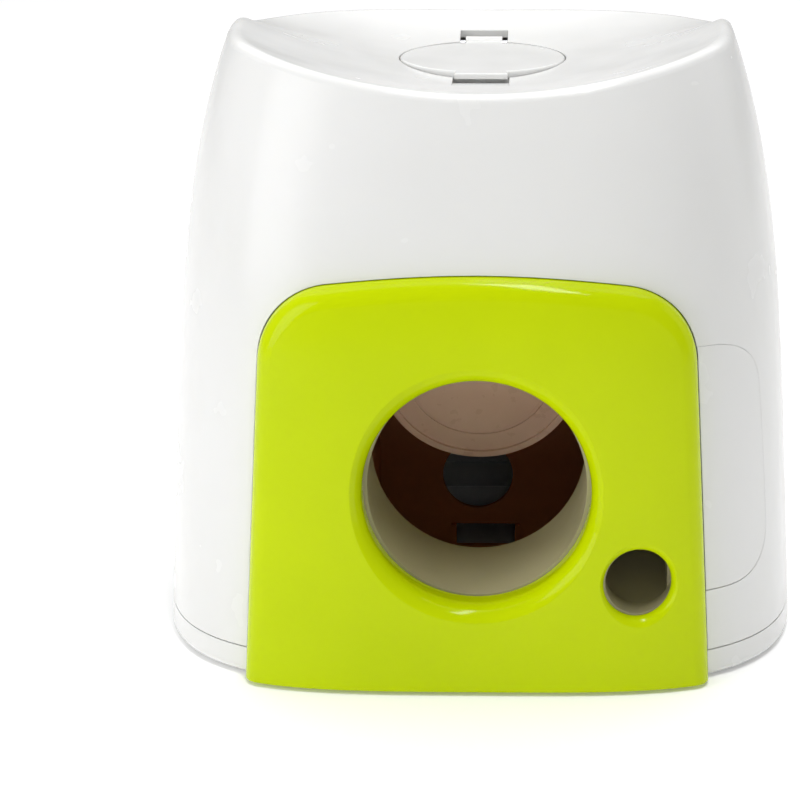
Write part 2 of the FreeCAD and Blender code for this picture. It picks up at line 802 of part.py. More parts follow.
def panel_screw_places():
    """Where the four panel screws stand, seen from the front."""
    lean = (size("panel_half_base") - size("panel_half_head")) / (size("panel_side_head") - size("panel_base"))
    places = []
    for height in (size("panel_screw_low"), size("panel_screw_high")):
        across = size("panel_half_base") - lean * (height - size("panel_base")) - size("panel_screw_inset")
        places += [(-across, height), (across, height)]
    return places


def panel_pad_rear(across, height):
    """Where the flat pad behind the panel's ledge ends, along Y."""
    return hull_front(across, height, -size("shell_wall") - size("ledge_depth")) + size("ledge_depth")


# ---------------------------------------------------------------- tunnel, outlet and chassis


def make_ball_path():
    """The tunnel that the ball rolls in, the treat outlet tube and the treat chute."""
    collar_end = solid("CollarEnd", behind_ball_collar())
    bore = sloped_rod("TunnelBore", "tunnel_radius")
    tube = sloped_rod("TunnelTube", "tunnel_radius + tunnel_wall")
    reach = block("TunnelReach", ("-2 * plate_inner", "2 * plate_inner"), ("-2 * front_depth", "tunnel_end"),
                  ("0", "2 * ball_opening_height"))
    flange_rows = ("tunnel_end - tunnel_flange", "tunnel_end")
    flange = block("TunnelFlange", (f"-({PLATE_OUTER})", PLATE_OUTER), flange_rows,
                   ("tunnel_flange_low", "tunnel_flange_high"))
    ear_ends = (f"-({PLATE_OUTER}) - plate_ear_width", f"{PLATE_OUTER} + plate_ear_width")
    ears = block("TunnelEars", ear_ends, flange_rows, ("plate_ear_low", "plate_ear_high"))
    holes = [rod(f"TunnelScrewHole{number}", "y", "screw_radius + running_fit", ("2 * tunnel_end", "0"), place)
             for number, place in enumerate(ear_screw_places())]
    form = fused("TunnelForm", overlap("TunnelTrimmed", tube, reach, collar_end), flange, ears)
    piece("ball_tunnel", cut("BallTunnel", form, bore, *holes))

    skin_rear = hull(-size("panel_skin") - size("seat_gap"), "panel_power", size("panel_proud"))
    panel_back = solid("PanelBack", skin_rear)
    span = ("-2 * front_depth", "outlet_tube_end")
    centre = ("outlet_across", "outlet_height")
    outer = rod("OutletOuter", "y", "outlet_tube_radius + outlet_tube_wall", span, centre)
    inner = rod("OutletInner", "y", "outlet_tube_radius", ("-2 * front_depth", "0"), centre)
    rim_span = ("outlet_tube_end - outlet_tube_wall", "outlet_tube_end")
    rim = rod("OutletRim", "y", "outlet_tube_radius + 2 * outlet_tube_wall", rim_span, centre)
    form = fused("OutletForm", overlap("OutletTrimmed", outer, panel_back), rim)
    piece("outlet_tube", cut("OutletTube", form, inner))


def sloped_rod(name, radius):
    """A cylinder along the tunnel's axis, which rises to the rear from the collar's end."""
    item = document.addObject("Part::Cylinder", name)
    item.Placement = Placement(Vector(), Rotation(AXIS["x"], -90))
    tie(item, "Radius", radius)
    tie(item, "Height", "2 * front_depth")
    tie(item, "Placement.Rotation.Angle", "tunnel_slope - 90")
    tie(item, "Placement.Base.y", "ball_collar_depth - front_depth - front_depth * cos(tunnel_slope)")
    tie(item, "Placement.Base.z", "ball_opening_height - tunnel_drop - front_depth * sin(tunnel_slope)")
    return item


def ear_screw_places():
    """Where the tunnel's ears are screwed to the chassis plates, as expressions."""
    across = f"({PLATE_OUTER} + plate_ear_width / 2)"
    return [(f"{side} * {across}", height) for side in (-1, 1)
            for height in ("plate_ear_low + plate_ear_width / 2", "plate_ear_high - plate_ear_width / 2")]


def side_plate(name, side):
    """A chassis plate beside the ball chamber, with bush bores, a foot and a front ear."""
    body = new_body(name)
    near = "plate_inner" if side > 0 else f"-({PLATE_OUTER})"
    face = sketch_on(body, "YZ_Plane", f"{name}Face", near)
    low = "foot_height + tray_floor + seat_gap"
    outline(face, [("tunnel_end", low), ("plate_rear", low), ("plate_rear", "plate_rear_head"),
                   ("plate_head_half", "plate_head"), ("-plate_head_half", "plate_head"),
                   ("tunnel_end", "plate_shoulder_height")])
    for place in ((PADDLE_ALONG, "paddle_shaft_height"), ("0", "drum_height")):
        circle(face, "bush_radius + fixed_fit", place)
    for place in back_screw_places():
        circle(face, "screw_radius + running_fit", place)
    if side < 0:
        circle(face, "spring_wire_radius + running_fit", SPRING_ANCHOR)
    pad(body, face, "plate_wall", f"{name}Wall")
    foot = sketch_on(body, "XY_Plane", f"{name}Foot", "plate_foot_height")
    reach = (f"{side} * ({PLATE_OUTER})", f"{side} * ({PLATE_OUTER} + plate_foot_width)")
    ends = ("plate_foot_front - plate_foot_width", "plate_foot_back + plate_foot_width")
    outline(foot, [(reach[0], ends[0]), (reach[1], ends[0]), (reach[1], ends[1]), (reach[0], ends[1])])
    for end in ("plate_foot_front", "plate_foot_back"):
        circle(foot, "screw_radius + running_fit", (f"{side} * ({PLATE_OUTER} + plate_foot_width / 2)", end))
    pad(body, foot, "plate_wall", f"{name}FootPad")
    ear = sketch_on(body, "XZ_Plane", f"{name}Ear", "-tunnel_end")
    reach = (reach[0], f"{side} * ({PLATE_OUTER} + plate_ear_width)")
    outline(ear, [(reach[0], "plate_ear_low"), (reach[1], "plate_ear_low"),
                  (reach[1], "plate_ear_high"), (reach[0], "plate_ear_high")])
    for place in ear_screw_places()[:2] if side < 0 else ear_screw_places()[2:]:
        circle(ear, "screw_radius + fixed_fit", place)
    pad(body, ear, "plate_wall", f"{name}EarPad", backwards=True)
    return body


def back_screw_places():
    """Where the back plate's returns are screwed, along Y and up, as expressions."""
    along = "back_plate_front + back_return / 2 + plate_wall / 2"
    return [(along, "back_slot_high"), (along, "back_plate_head - back_slot_high")]


def make_chassis():
    """The two side plates and the back plate that close the ball chamber."""
    piece("left_side_plate", side_plate("LeftSidePlate", -1))
    right = side_plate("RightSidePlate", 1)
    window = sketch_on(right, "YZ_Plane", "SpoutWindow", PLATE_OUTER)
    front, rear = "spout_front - seat_gap", "spout_rear + seat_gap"
    low, high = f"{SPOUT_UNDERSIDE} - seat_gap", "spout_mouth_top + seat_gap"
    outline(window, [(front, low), (rear, low), (rear, high), (front, high)])
    for place in (*housing_screw_places(), *chute_screw_places()):
        circle(window, "screw_radius + running_fit", place)
    pocket(right, window, "plate_wall", "SpoutWindowCut")
    piece("right_side_plate", right)

    back = new_body("BackPlate")
    plan = sketch_on(back, "XY_Plane", "BackPlan", "foot_height + tray_floor + seat_gap")
    inner, rear = "(plate_inner - plate_wall)", "back_plate_front + back_return"
    wall_rear = "back_plate_front + plate_wall"
    outline(plan, [("-plate_inner", "back_plate_front"), ("plate_inner", "back_plate_front"),
                   ("plate_inner", rear), (inner, rear), (inner, wall_rear),
                   (f"-{inner}", wall_rear), (f"-{inner}", rear), ("-plate_inner", rear)])
    pad(back, plan, "back_plate_head - foot_height - tray_floor - seat_gap", "BackWall")
    posts = sketch_on(back, "XZ_Plane", "BackPosts", "-back_plate_front")
    for side in (-1, 1):
        near = f"back_slot_across + {side} * back_slot_half"
        far = f"{near} + {side} * back_post_width"
        outline(posts, [(near, "back_slot_low"), (far, "back_slot_low"),
                        (far, "back_slot_high"), (near, "back_slot_high")])
    pad(back, posts, "back_post_depth", "BackPostPads")
    holes = sketch_on(back, "XZ_Plane", "BackHoles", "-back_plate_front")
    circle(holes, "back_hole_radius", ("back_hole_across", "back_hole_height"))
    left, right = "back_slot_across - back_slot_half", "back_slot_across + back_slot_half"
    outline(holes, [(left, "back_slot_low"), (right, "back_slot_low"),
                    (right, "back_slot_high"), (left, "back_slot_high")])
    pocket(back, holes, "plate_wall", "BackHoleCut")
    pilots = sketch_on(back, "YZ_Plane", "BackPilots", "plate_inner")
    for place in back_screw_places():
        circle(pilots, "screw_radius + fixed_fit", place)
    pocket(back, pilots, "2 * plate_inner", "BackPilotCut")
    piece("back_plate", back)


# ---------------------------------------------------------------- paddle


def make_paddle():
    """The hanging paddle that the ball pushes, modelled upright around its shaft and then tilted."""
    body = new_body("BallPaddle")
    disc = sketch_on(body, "XZ_Plane", "PaddleDisc", "paddle_wall / 2")
    circle(disc, "paddle_radius", ("0", "-paddle_drop"))
    pad(body, disc, "paddle_wall", "PaddleWall", backwards=True)
    rim = sketch_on(body, "XZ_Plane", "PaddleRim", "paddle_wall / 2")
    circle(rim, "paddle_radius", ("0", "-paddle_drop"))
    circle(rim, "paddle_radius - paddle_rim_width", ("0", "-paddle_drop"))
    pad(body, rim, "paddle_rim_proud", "PaddleRimPad")
    ring = sketch_on(body, "XZ_Plane", "PaddleRing", "paddle_wall / 2")
    circle(ring, "paddle_ring_radius + paddle_ring_width / 2", ("0", "-paddle_drop"))
    circle(ring, "paddle_ring_radius - paddle_ring_width / 2", ("0", "-paddle_drop"))
    pocket(body, ring, "paddle_ring_depth", "PaddleRingCut")
    arm = sketch_on(body, "XZ_Plane", "PaddleArm", "paddle_wall / 2")
    foot = "paddle_radius - paddle_drop - paddle_rim_width"
    outline(arm, [("-paddle_arm_half", foot), ("paddle_arm_half", foot),
                  ("paddle_arm_half", "0"), ("-paddle_arm_half", "0")])
    pad(body, arm, "paddle_wall", "PaddleArmPad", backwards=True)
    rib = sketch_on(body, "YZ_Plane", "PaddleRib", "-paddle_rib_wall / 2")
    foot = "-paddle_drop - paddle_ring_radius"
    back = "paddle_wall / 2 + paddle_rib_depth"
    outline(rib, [("0", "0"), ("0", foot), ("paddle_wall", foot), (back, "-paddle_drop"), (back, "0")])
    pad(body, rib, "paddle_rib_wall", "PaddleRibPad")
    hub = sketch_on(body, "YZ_Plane", "PaddleHub", "-paddle_hub_half")
    circle(hub, "paddle_hub_radius")
    pad(body, hub, "2 * paddle_hub_half", "PaddleHubPad")
    bore = sketch_on(body, "YZ_Plane", "PaddleBore", "paddle_hub_half")
    circle(bore, "shaft_radius + fixed_fit")
    pocket(body, bore, "2 * paddle_hub_half", "PaddleBoreCut")
    body.Placement = Placement(Vector(), Rotation(AXIS["x"], 1))
    tie(body, "Placement.Rotation.Angle", "paddle_tilt")
    tie(body, "Placement.Base.y", PADDLE_ALONG)
    tie(body, "Placement.Base.z", "paddle_shaft_height")
    piece("ball_paddle", body)

    pads = []
    for side, word in ((-1, "Left"), (1, "Right")):
        across = (f"{side} * stop_across - stop_width / 2", f"{side} * stop_across + stop_width / 2")
        front_face = f"{PADDLE_ALONG} + (paddle_shaft_height - stop_high) * tan(paddle_tilt)"
        rear = f"{front_face} - paddle_wall / 2 / cos(paddle_tilt) - seat_gap"
        pads.append(block(f"{word}Stop", across, ("tunnel_end", rear), ("stop_low", "stop_high")))
    piece("paddle_stop_pads", group("PaddleStops", pads))


def shaft_with_fittings(word, place):
    """A shaft with a bush in each chassis plate and a retaining clip at each end."""
    lower = word.lower()
    shaft = rod(f"{word}Shaft", "x", "shaft_radius", ("shaft_left_end", "shaft_right_end"), place)
    grooves, clips, bushes = [], [], []
    spans = (("shaft_left_end + clip_wall", "shaft_left_end + 2 * clip_wall"),
             ("shaft_right_end - 2 * clip_wall", "shaft_right_end - clip_wall"))
    for number, span in enumerate(spans):
        waist = "shaft_radius - clip_groove"
        band = rod(f"{word}GrooveBand{number}", "x", "2 * shaft_radius", span, place)
        grooves.append(cut(f"{word}Groove{number}", band, rod(f"{word}Waist{number}", "x", waist, span, place)))
        plate = rod(f"{word}ClipDisc{number}", "x", "clip_radius", span, place)
        eye = rod(f"{word}ClipEye{number}", "x", f"{waist} + fixed_fit", span, place)
        sides = (f"{place[0]} - clip_mouth_half", f"{place[0]} + clip_mouth_half")
        mouth = block(f"{word}ClipMouth{number}", span, sides, (f"{place[1]} - 2 * clip_radius", place[1]))
        clips.append(cut(f"{word}Clip{number}", plate, eye, mouth))
    for side, plate_word in ((-1, "Left"), (1, "Right")):
        reach = f"{side} * (plate_inner - bush_flange)", f"{side} * ({PLATE_OUTER} + bush_tail)"
        flange = f"{side} * (plate_inner - bush_flange)", f"{side} * plate_inner"
        sleeve = rod(f"{word}{plate_word}Sleeve", "x", "bush_radius", reach[::side], place)
        collar = rod(f"{word}{plate_word}Collar", "x", "bush_flange_radius", flange[::side], place)
        bore = rod(f"{word}{plate_word}BushBore", "x", "shaft_radius + running_fit", reach[::side], place)
        form = fused(f"{word}{plate_word}BushForm", sleeve, collar)
        bushes.append(cut(f"{word}{plate_word}Bush", form, bore))
    piece(f"{lower}_shaft", cut(f"{word}ShaftTurned", shaft, *grooves))
    piece(f"{lower}_shaft_clips", group(f"{word}Clips", clips))
    piece(f"{lower}_shaft_bushes", group(f"{word}Bushes", bushes))


def make_return_spring():
    """The torsion spring beside the paddle's hub: one leg in the left plate, one on the paddle's back."""
    radius, wire, pitch = size("spring_radius"), size("spring_wire_radius"), size("spring_pitch")
    length = pitch * size("spring_turns")
    start = -size("paddle_hub_half") - size("seat_gap") - wire - length
    rise, drop = size("spring_leg_rise"), size("spring_leg_drop")
    helix = Part.makeHelix(pitch, length, radius, 0, True)
    profile = Part.Wire([Part.makeCircle(wire, Vector(radius, 0, 0), AXIS["y"])])
    coil = Part.Wire(helix.Edges).makePipeShell([profile], True, True)
    coil.rotate(Vector(), AXIS["y"], 90)
    coil.rotate(Vector(), AXIS["x"], 90)
    coil.translate(Vector(start, 0, 0))
    plate = -size("plate_inner") - size("plate_wall")
    paddle_back = size("paddle_wall") / 2 + size("seat_gap") / 2 + wire
    route = [Vector(start, radius, 0), Vector(start, radius, rise), Vector(plate, radius, rise)]
    lower = [Vector(start + length, radius, 0), Vector(start + length, paddle_back, -drop)]
    legs = [wire_leg(near, far, wire) for near, far in (*zip(route, route[1:]), lower)]
    item = solid("ReturnSpring", coil.fuse(legs))
    item.Placement = Placement(Vector(), Rotation(AXIS["x"], 1))
    tie(item, "Placement.Rotation.Angle", "paddle_tilt")
    tie(item, "Placement.Base.y", PADDLE_ALONG)
    tie(item, "Placement.Base.z", "paddle_shaft_height")
    piece("paddle_return_spring", item)


def wire_leg(near, far, radius):
    """A straight stretch of wire with a round start."""
    run = far - near
    return Part.makeCylinder(radius, run.Length, near, run).fuse(Part.makeSphere(radius, near))


# ---------------------------------------------------------------- gears


def tooth_wall(teeth, radius):
    """Half a tooth's angle at a radius, in radians, for an involute tooth with backlash."""
    pitch_radius = size("tooth_module") * teeth / 2
    pressure = math.radians(size("pressure_angle"))
    base = pitch_radius * math.cos(pressure)
    angle = math.acos(min(1, base / radius))
    half_pitch = math.pi / (2 * teeth) - size("tooth_backlash") / (2 * pitch_radius)
    return half_pitch + math.tan(pressure) - pressure - math.tan(angle) + angle


def root_radius(teeth):
    """The radius at the foot of a gear's teeth."""
    return size("tooth_module") * (teeth / 2 - size("tooth_root_depth"))


def gear_tooth(teeth, width, turn):
    """One involute tooth, pulled along X, pointing at an angle from +Y towards +Z."""
    module = size("tooth_module")
    pitch_radius = module * teeth / 2
    base = pitch_radius * math.cos(math.radians(size("pressure_angle")))
    root, tip = root_radius(teeth), pitch_radius + module
    low = max(base, root)
    radii = [low + (tip - low) * step / FLANK_STEPS for step in range(FLANK_STEPS + 1)]

    def at(radius, angle):
        return Vector(0, radius * math.cos(turn + angle), radius * math.sin(turn + angle))

    flanks = []
    for side in (-1, 1):
        flank = Part.BSplineCurve()
        flank.interpolate([at(radius, side * tooth_wall(teeth, radius)) for radius in radii])
        flanks.append(flank.toShape())
    inner = root - module / 2
    ends = {side: at(low, side * tooth_wall(teeth, low)) for side in (-1, 1)}
    feet = {side: at(inner, side * tooth_wall(teeth, low)) for side in (-1, 1)}
    tip_arc = Part.Arc(at(tip, -tooth_wall(teeth, tip)), at(tip, 0), at(tip, tooth_wall(teeth, tip))).toShape()
    edges = [Part.makeLine(feet[-1], ends[-1]), flanks[0], tip_arc, flanks[1]]
    edges += [Part.makeLine(ends[1], feet[1]), Part.makeLine(feet[1], feet[-1])]
    wire = Part.Wire(Part.__sortEdges__(edges))
    return Part.Face(wire).extrude(Vector(width, 0, 0))


def make_gears():
    """The toothed sector on the paddle's shaft and the pinion on the drum's shaft, in mesh at rest."""
    centres = sheet_value(GEAR_CENTRES)
    rise = size("drum_height") - size("paddle_shaft_height")
    mesh = math.asin(rise / centres)
    width, teeth, pinion_teeth = size("gear_width"), int(size("sector_teeth")), int(size("pinion_teeth"))
    pitch = 2 * math.pi / teeth
    low, high = math.radians(size("sector_low_angle")), math.radians(size("sector_high_angle"))
    turns = [mesh + pitch * step for step in range(-teeth, teeth) if low < mesh + pitch * step < high]
    root = root_radius(teeth)
    spread = turns[-1] - turns[0] + pitch
    blank = Part.makeCylinder(root, width, Vector(), AXIS["x"], math.degrees(spread))
    blank.rotate(Vector(), AXIS["x"], math.degrees(turns[0] - pitch / 2) - SECTOR_SEAM)
    hub_radius, hub_reach = size("gear_hub_radius"), size("gear_hub_reach")
    hub = Part.makeCylinder(hub_radius, width + 2 * hub_reach, Vector(-hub_reach, 0, 0), AXIS["x"])
    bore_radius, bore_start = size("shaft_radius") + size("fixed_fit"), Vector(-2 * hub_reach, 0, 0)
    bore = Part.makeCylinder(bore_radius, width + 4 * hub_reach, bore_start, AXIS["x"])
    middle, reach = (turns[0] + turns[-1]) / 2, size("sector_window_reach")
    window_place = Vector(-width, reach * math.cos(middle), reach * math.sin(middle))
    window = Part.makeCylinder(size("sector_window_radius"), 3 * width, window_place, AXIS["x"])
    sector = blank.fuse([hub, *(gear_tooth(teeth, width, turn) for turn in turns)]).cut([bore, window])
    piece("sector_gear", gear_item("SectorGear", sector, PADDLE_ALONG, "paddle_shaft_height", "0"))

    overhang = size("pinion_overlap")
    pinion_width, pinion_root = width + 2 * overhang, root_radius(pinion_teeth)
    body = Part.makeCylinder(pinion_root, pinion_width, Vector(), AXIS["x"])
    pinion_hub = Part.makeCylinder(pinion_root - overhang, hub_reach, Vector(pinion_width, 0, 0), AXIS["x"])
    turns = [mesh + math.pi + 2 * math.pi * (step + 0.5) / pinion_teeth for step in range(pinion_teeth)]
    pinion_form = body.fuse([pinion_hub, *(gear_tooth(pinion_teeth, pinion_width, turn) for turn in turns)])
    pinion = pinion_form.cut(bore)
    piece("drum_pinion", gear_item("DrumPinion", pinion, "0", "drum_height", "pinion_overlap"))


def gear_item(name, shape, along, height, overhang):
    """Places a gear that was worked out around its own axis."""
    item = solid(name, shape)
    tie(item, "Placement.Base.x", f"gear_inner - gear_width - {overhang}")
    tie(item, "Placement.Base.y", along)
    tie(item, "Placement.Base.z", height)
    return item


def sheet_value(text):
    """The number that an expression of sizes gives."""
    number = sheet.evalExpression(bound(text))
    return float(getattr(number, "Value", number))


# ---------------------------------------------------------------- treat path


def spout_floor(across):
    """The height of the spout's floor at a place across the machine, as an expression."""
    return f"spout_end_height + (spout_reach - ({across})) * tan(spout_slope)"


def housing_screw_places():
    """Where the drum's housing is screwed to the right plate, along Y and up, as expressions."""
    reach, lean = "(drum_radius + drum_gap + housing_wall + screw_head_radius)", "housing_ear_angle"
    return [(f"-{reach} * cos({lean})", "drum_height"),
            (f"-{reach} * sin({lean})", f"drum_height - {reach} * cos({lean})"),
            (f"{reach}", "drum_height + screw_head_radius")]


def make_drum():
    """The pocketed drum and the housing that it turns in."""
    across = ("housing_left + housing_wall + drum_gap", "plate_inner - bush_flange - drum_gap")
    body = new_body("TreatDrum")
    disc = sketch_on(body, "YZ_Plane", "DrumDisc", across[0])
    circle(disc, "drum_radius")
    pad(body, disc, f"({across[1]}) - ({across[0]})", "DrumWall")
    bore = sketch_on(body, "YZ_Plane", "DrumBore", across[1])
    circle(bore, "shaft_radius + fixed_fit")
    pocket(body, bore, "2 * plate_inner", "DrumBoreCut")
    cup = sketch_on(body, "YZ_Plane", "DrumPocket", f"{across[1]} - drum_end_wall")
    outline(cup, [("-drum_pocket_half", "drum_pocket_floor"), ("drum_pocket_half", "drum_pocket_floor"),
                  ("drum_pocket_half", "2 * drum_radius"), ("-drum_pocket_half", "2 * drum_radius")])
    pocket(body, cup, f"({across[1]}) - ({across[0]}) - 2 * drum_end_wall", "DrumPocketCut")
    tie(body, "Placement.Base.z", "drum_height")
    piece("treat_drum", body)

    make_drum_housing()


def make_drum_housing():
    """The housing around the drum: a ring, a neck for the hopper's spout, a spout below and three ears."""
    place, ear_span = ("0", "drum_height"), ("plate_inner - short_screw_length", "plate_inner")
    room, inlet = "drum_radius + drum_gap", ("inlet_across", "0")
    ring = rod("HousingRing", "x", f"{room} + housing_wall", ("housing_left", "plate_inner"), place)
    ears = [rod(f"HousingEar{number}", "x", "screw_head_radius + housing_wall / 2", ear_span, spot)
            for number, spot in enumerate(housing_screw_places())]
    link_reach = f"({room} + housing_wall + screw_head_radius)"
    link = block("HousingEarLink", ear_span, (f"-{link_reach}", link_reach),
                 ("drum_height - screw_head_radius / 2", "drum_height + screw_head_radius"))
    neck_bore_radius, neck_low = "inlet_radius + inlet_wall + seat_gap", "drum_height + drum_radius / 2"
    neck = rod("HousingNeck", "z", f"{neck_bore_radius} + inlet_wall", (neck_low, "inlet_top"), inlet)
    spout = spout_prism("SpoutOuter", ("spout_front", "spout_rear"), "housing_left", "-spout_wall", "0")
    hollow = spout_prism("SpoutInner", ("spout_front + spout_wall", "spout_rear - spout_wall"),
                         "housing_left + housing_wall", "0", "drum_gap")
    chamber = rod("HousingChamber", "x", room, ("housing_left + housing_wall", "2 * plate_inner"), place)
    neck_bore = rod("HousingNeckBore", "z", neck_bore_radius, (neck_low, "2 * inlet_top"), inlet)
    shaft_hole = rod("HousingShaftHole", "x", "shaft_radius + drum_gap", ("0", "plate_inner"), place)
    pilot_span = (ear_span[0], "2 * plate_inner")
    pilots = [rod(f"HousingPilot{number}", "x", "screw_radius + fixed_fit", pilot_span, spot)
              for number, spot in enumerate(housing_screw_places())]
    form = fused("HousingForm", ring, neck, spout, link, *ears)
    piece("drum_housing", cut("DrumHousing", form, chamber, neck_bore, hollow, shaft_hole, *pilots))


def spout_prism(name, along, left, floor_shift, reach_shift):
    """The spout's side outline, padded from its front to its rear wall."""
    body = new_body(name)
    side = sketch_on(body, "XZ_Plane", f"{name}Side", f"-({along[0]})")
    far, mouth = f"spout_reach + {reach_shift}", f"spout_mouth_top + {floor_shift}"
    outline(side, [(left, "drum_height"), ("plate_inner", "drum_height"), ("plate_inner", mouth), (far, mouth),
                   (far, f"spout_end_height + {floor_shift}"), (left, f"{spout_floor(left)} + {floor_shift}")])
    pad(body, side, f"({along[1]}) - ({along[0]})", f"{name}Pad", backwards=True)
    return body


def make_hopper():
    """The funnel under the lid, which leans to the drum's inlet."""
    body = new_body("TreatHopper")
    top, cone_head = "hopper_top", "hopper_top - hopper_flange"
    flange = sketch_on(body, "XY_Plane", "HopperFlange", cone_head)
    circle(flange, "hopper_flange_radius", HOPPER_CENTRE)
    pad(body, flange, "hopper_flange", "HopperFlangePad")
    for number, place in enumerate(hopper_ear_places()):
        ear = sketch_on(body, "XY_Plane", f"HopperEar{number}", cone_head)
        circle(ear, "hopper_ear_radius", place)
        pad(body, ear, "hopper_flange", f"HopperEarPad{number}")
    cone(body, "PartDesign::AdditiveLoft", "HopperCone", "hopper_wall", (cone_head, "hopper_cone_foot"))
    foot = sketch_on(body, "XY_Plane", "HopperSpout", "hopper_spout_end")
    circle(foot, "inlet_radius + hopper_wall", ("inlet_across", "0"))
    pad(body, foot, "hopper_cone_foot - hopper_spout_end", "HopperSpoutPad")
    cone(body, "PartDesign::SubtractiveLoft", "HopperFunnel", "0", (cone_head, "hopper_cone_foot"))
    throat = sketch_on(body, "XY_Plane", "HopperThroat", "hopper_cone_foot")
    circle(throat, "inlet_radius", ("inlet_across", "0"))
    pocket(body, throat, "hopper_cone_foot", "HopperThroatCut")
    mouth = sketch_on(body, "XY_Plane", "HopperMouth", cone_head)
    circle(mouth, "hopper_radius", HOPPER_CENTRE)
    pocket(body, mouth, "hopper_top", "HopperMouthCut", backwards=True)
    holes = sketch_on(body, "XY_Plane", "HopperHoles", top)
    for place in hopper_ear_places():
        circle(holes, "screw_radius + running_fit", place)
    pocket(body, holes, "hopper_flange", "HopperHoleCut")
    piece("treat_hopper", body)


def hopper_ear_places():
    """Where the hopper's four ears are centred, as expressions."""
    across = "hopper_screw_circle * sin(hopper_screw_angle)"
    along = "hopper_screw_circle * cos(hopper_screw_angle)"
    return [(f"{side} * {across}", f"lid_along + {end} * {along}") for side in (-1, 1) for end in (-1, 1)]


def cone(body, kind, name, wall, heights):
    """An oblique cone between the hopper's mouth and its spout, added or taken away."""
    head = sketch_on(body, "XY_Plane", f"{name}Head", heights[0])
    circle(head, f"hopper_radius + {wall}", HOPPER_CENTRE)
    foot = sketch_on(body, "XY_Plane", f"{name}Foot", heights[1])
    circle(foot, f"inlet_radius + {wall}", ("inlet_across", "0"))
    document.recompute()
    item = body.newObject(kind, name)
    item.Profile = head
    item.Sections = [foot]
    document.recompute()


def make_lid():
    """The flip lid with its finger tab, skirt, rear arm and hinge knuckle, and the hinge's pin."""
    tall = ("lid_top - lid_wall", "lid_top")
    disc = rod("LidDisc", "z", "lid_radius", tall, HOPPER_CENTRE)
    tab_span = ("lid_along - lid_radius - lid_tab_reach", "lid_along")
    tab = block("LidTab", ("-lid_tab_half", "lid_tab_half"), tab_span, ("lid_top - lid_tab_wall", "lid_top"))
    top = fused("LidTop", disc, tab)
    document.recompute()
    rounded = document.addObject("Part::Fillet", "LidRounded")
    rounded.Base = top
    edge_round = size("lid_edge_round")
    rounded.Edges = [(number, edge_round, edge_round) for number, edge in enumerate(top.Shape.Edges, start=1)
                     if abs(edge.BoundBox.ZMin - size("lid_top")) < TOLERANCE]
    skirt_span, skirt_radius = ("lid_skirt_end", "lid_top - lid_wall / 2"), "lid_radius - seat_gap"
    skirt = rod("LidSkirt", "z", skirt_radius, skirt_span, HOPPER_CENTRE)
    hollow = rod("LidHollow", "z", f"{skirt_radius} - lid_skirt_wall", ("lid_skirt_end", tall[0]), HOPPER_CENTRE)
    width = ("-knuckle_half", "knuckle_half")
    arm_span = ("lid_along + lid_radius - lid_skirt_wall", "hinge_along")
    arm = block("LidArm", width, arm_span, ("arm_top - arm_wall", "arm_top"))
    place = ("hinge_along", "hinge_height")
    knuckle = rod("LidKnuckle", "x", "knuckle_radius", width, place)
    bore = rod("LidPinBore", "x", "hinge_pin_radius + running_fit", width, place)
    form = fused("LidForm", rounded, cut("LidSkirtRing", skirt, hollow), arm, knuckle)
    piece("treat_lid", cut("TreatLid", form, bore))
    pin = rod("LidHingePin", "x", "hinge_pin_radius", ("-hinge_pin_half", "hinge_pin_half"), place)
    piece("lid_hinge_pin", pin)


def chute_floor(along):
    """The height of the chute's floor at a place along the machine, as an expression."""
    slope = "((chute_rear_height - outlet_height + outlet_tube_radius) / (chute_rear - chute_front))"
    return f"(outlet_height - outlet_tube_radius + (({along}) - chute_front) * {slope})"


def chute_screw_places():
    """Where the chute's ears are screwed to the right plate, along Y and up, as expressions."""
    return [(along, f"{chute_floor(along)} + chute_side + screw_head_radius")
            for along in ("chute_ear_front", "chute_ear_rear")]


def make_chute():
    """The sloping trough outside the right plate, from the spout to the outlet tube."""
    body = new_body("TreatChute")
    walls = (("Right", f"{CHUTE_RIGHT} - chute_wall", "chute_wall", "chute_side"),
             ("Floor", CHUTE_LEFT, f"{CHUTE_RIGHT} - {CHUTE_LEFT}", "0"),
             ("Gate", CHUTE_LEFT, "chute_wall", "chute_gate"))
    for word, start, width, rise in walls:
        trough_wall(body, word, start, width, ("chute_front", "chute_rear"), rise)
    left_span = ("chute_front", "spout_front - 2 * opening_gap")
    trough_wall(body, "Left", CHUTE_LEFT, "chute_wall", left_span, "chute_side")
    end = sketch_on(body, "XZ_Plane", "ChuteEnd", "-chute_rear")
    low, high = f"{chute_floor('chute_rear')} - chute_wall", f"{chute_floor('chute_rear')} + chute_side"
    gate_side = f"{CHUTE_LEFT} + chute_wall + opening_gap"
    outline(end, [(gate_side, low), (CHUTE_RIGHT, low), (CHUTE_RIGHT, high), (gate_side, high)])
    pad(body, end, "chute_wall", "ChuteEndWall")
    for number, (along, height) in enumerate(chute_screw_places()):
        ear = sketch_on(body, "YZ_Plane", f"ChuteEar{number}", PLATE_OUTER)
        half = "(screw_head_radius + chute_wall)"
        front, rear = f"{along} - {half}", f"{along} + {half}"
        low, high = f"{chute_floor(along)} + chute_wall", f"{height} + {half}"
        outline(ear, [(front, low), (rear, low), (rear, high), (front, high)])
        pad(body, ear, "2 * chute_wall", f"ChuteEarPad{number}")
    holes = sketch_on(body, "YZ_Plane", "ChuteHoles", f"{PLATE_OUTER} + 2 * chute_wall")
    for place in chute_screw_places():
        circle(holes, "screw_radius + fixed_fit", place)
    pocket(body, holes, "2 * chute_wall", "ChuteHoleCut")
    piece("treat_chute", body)


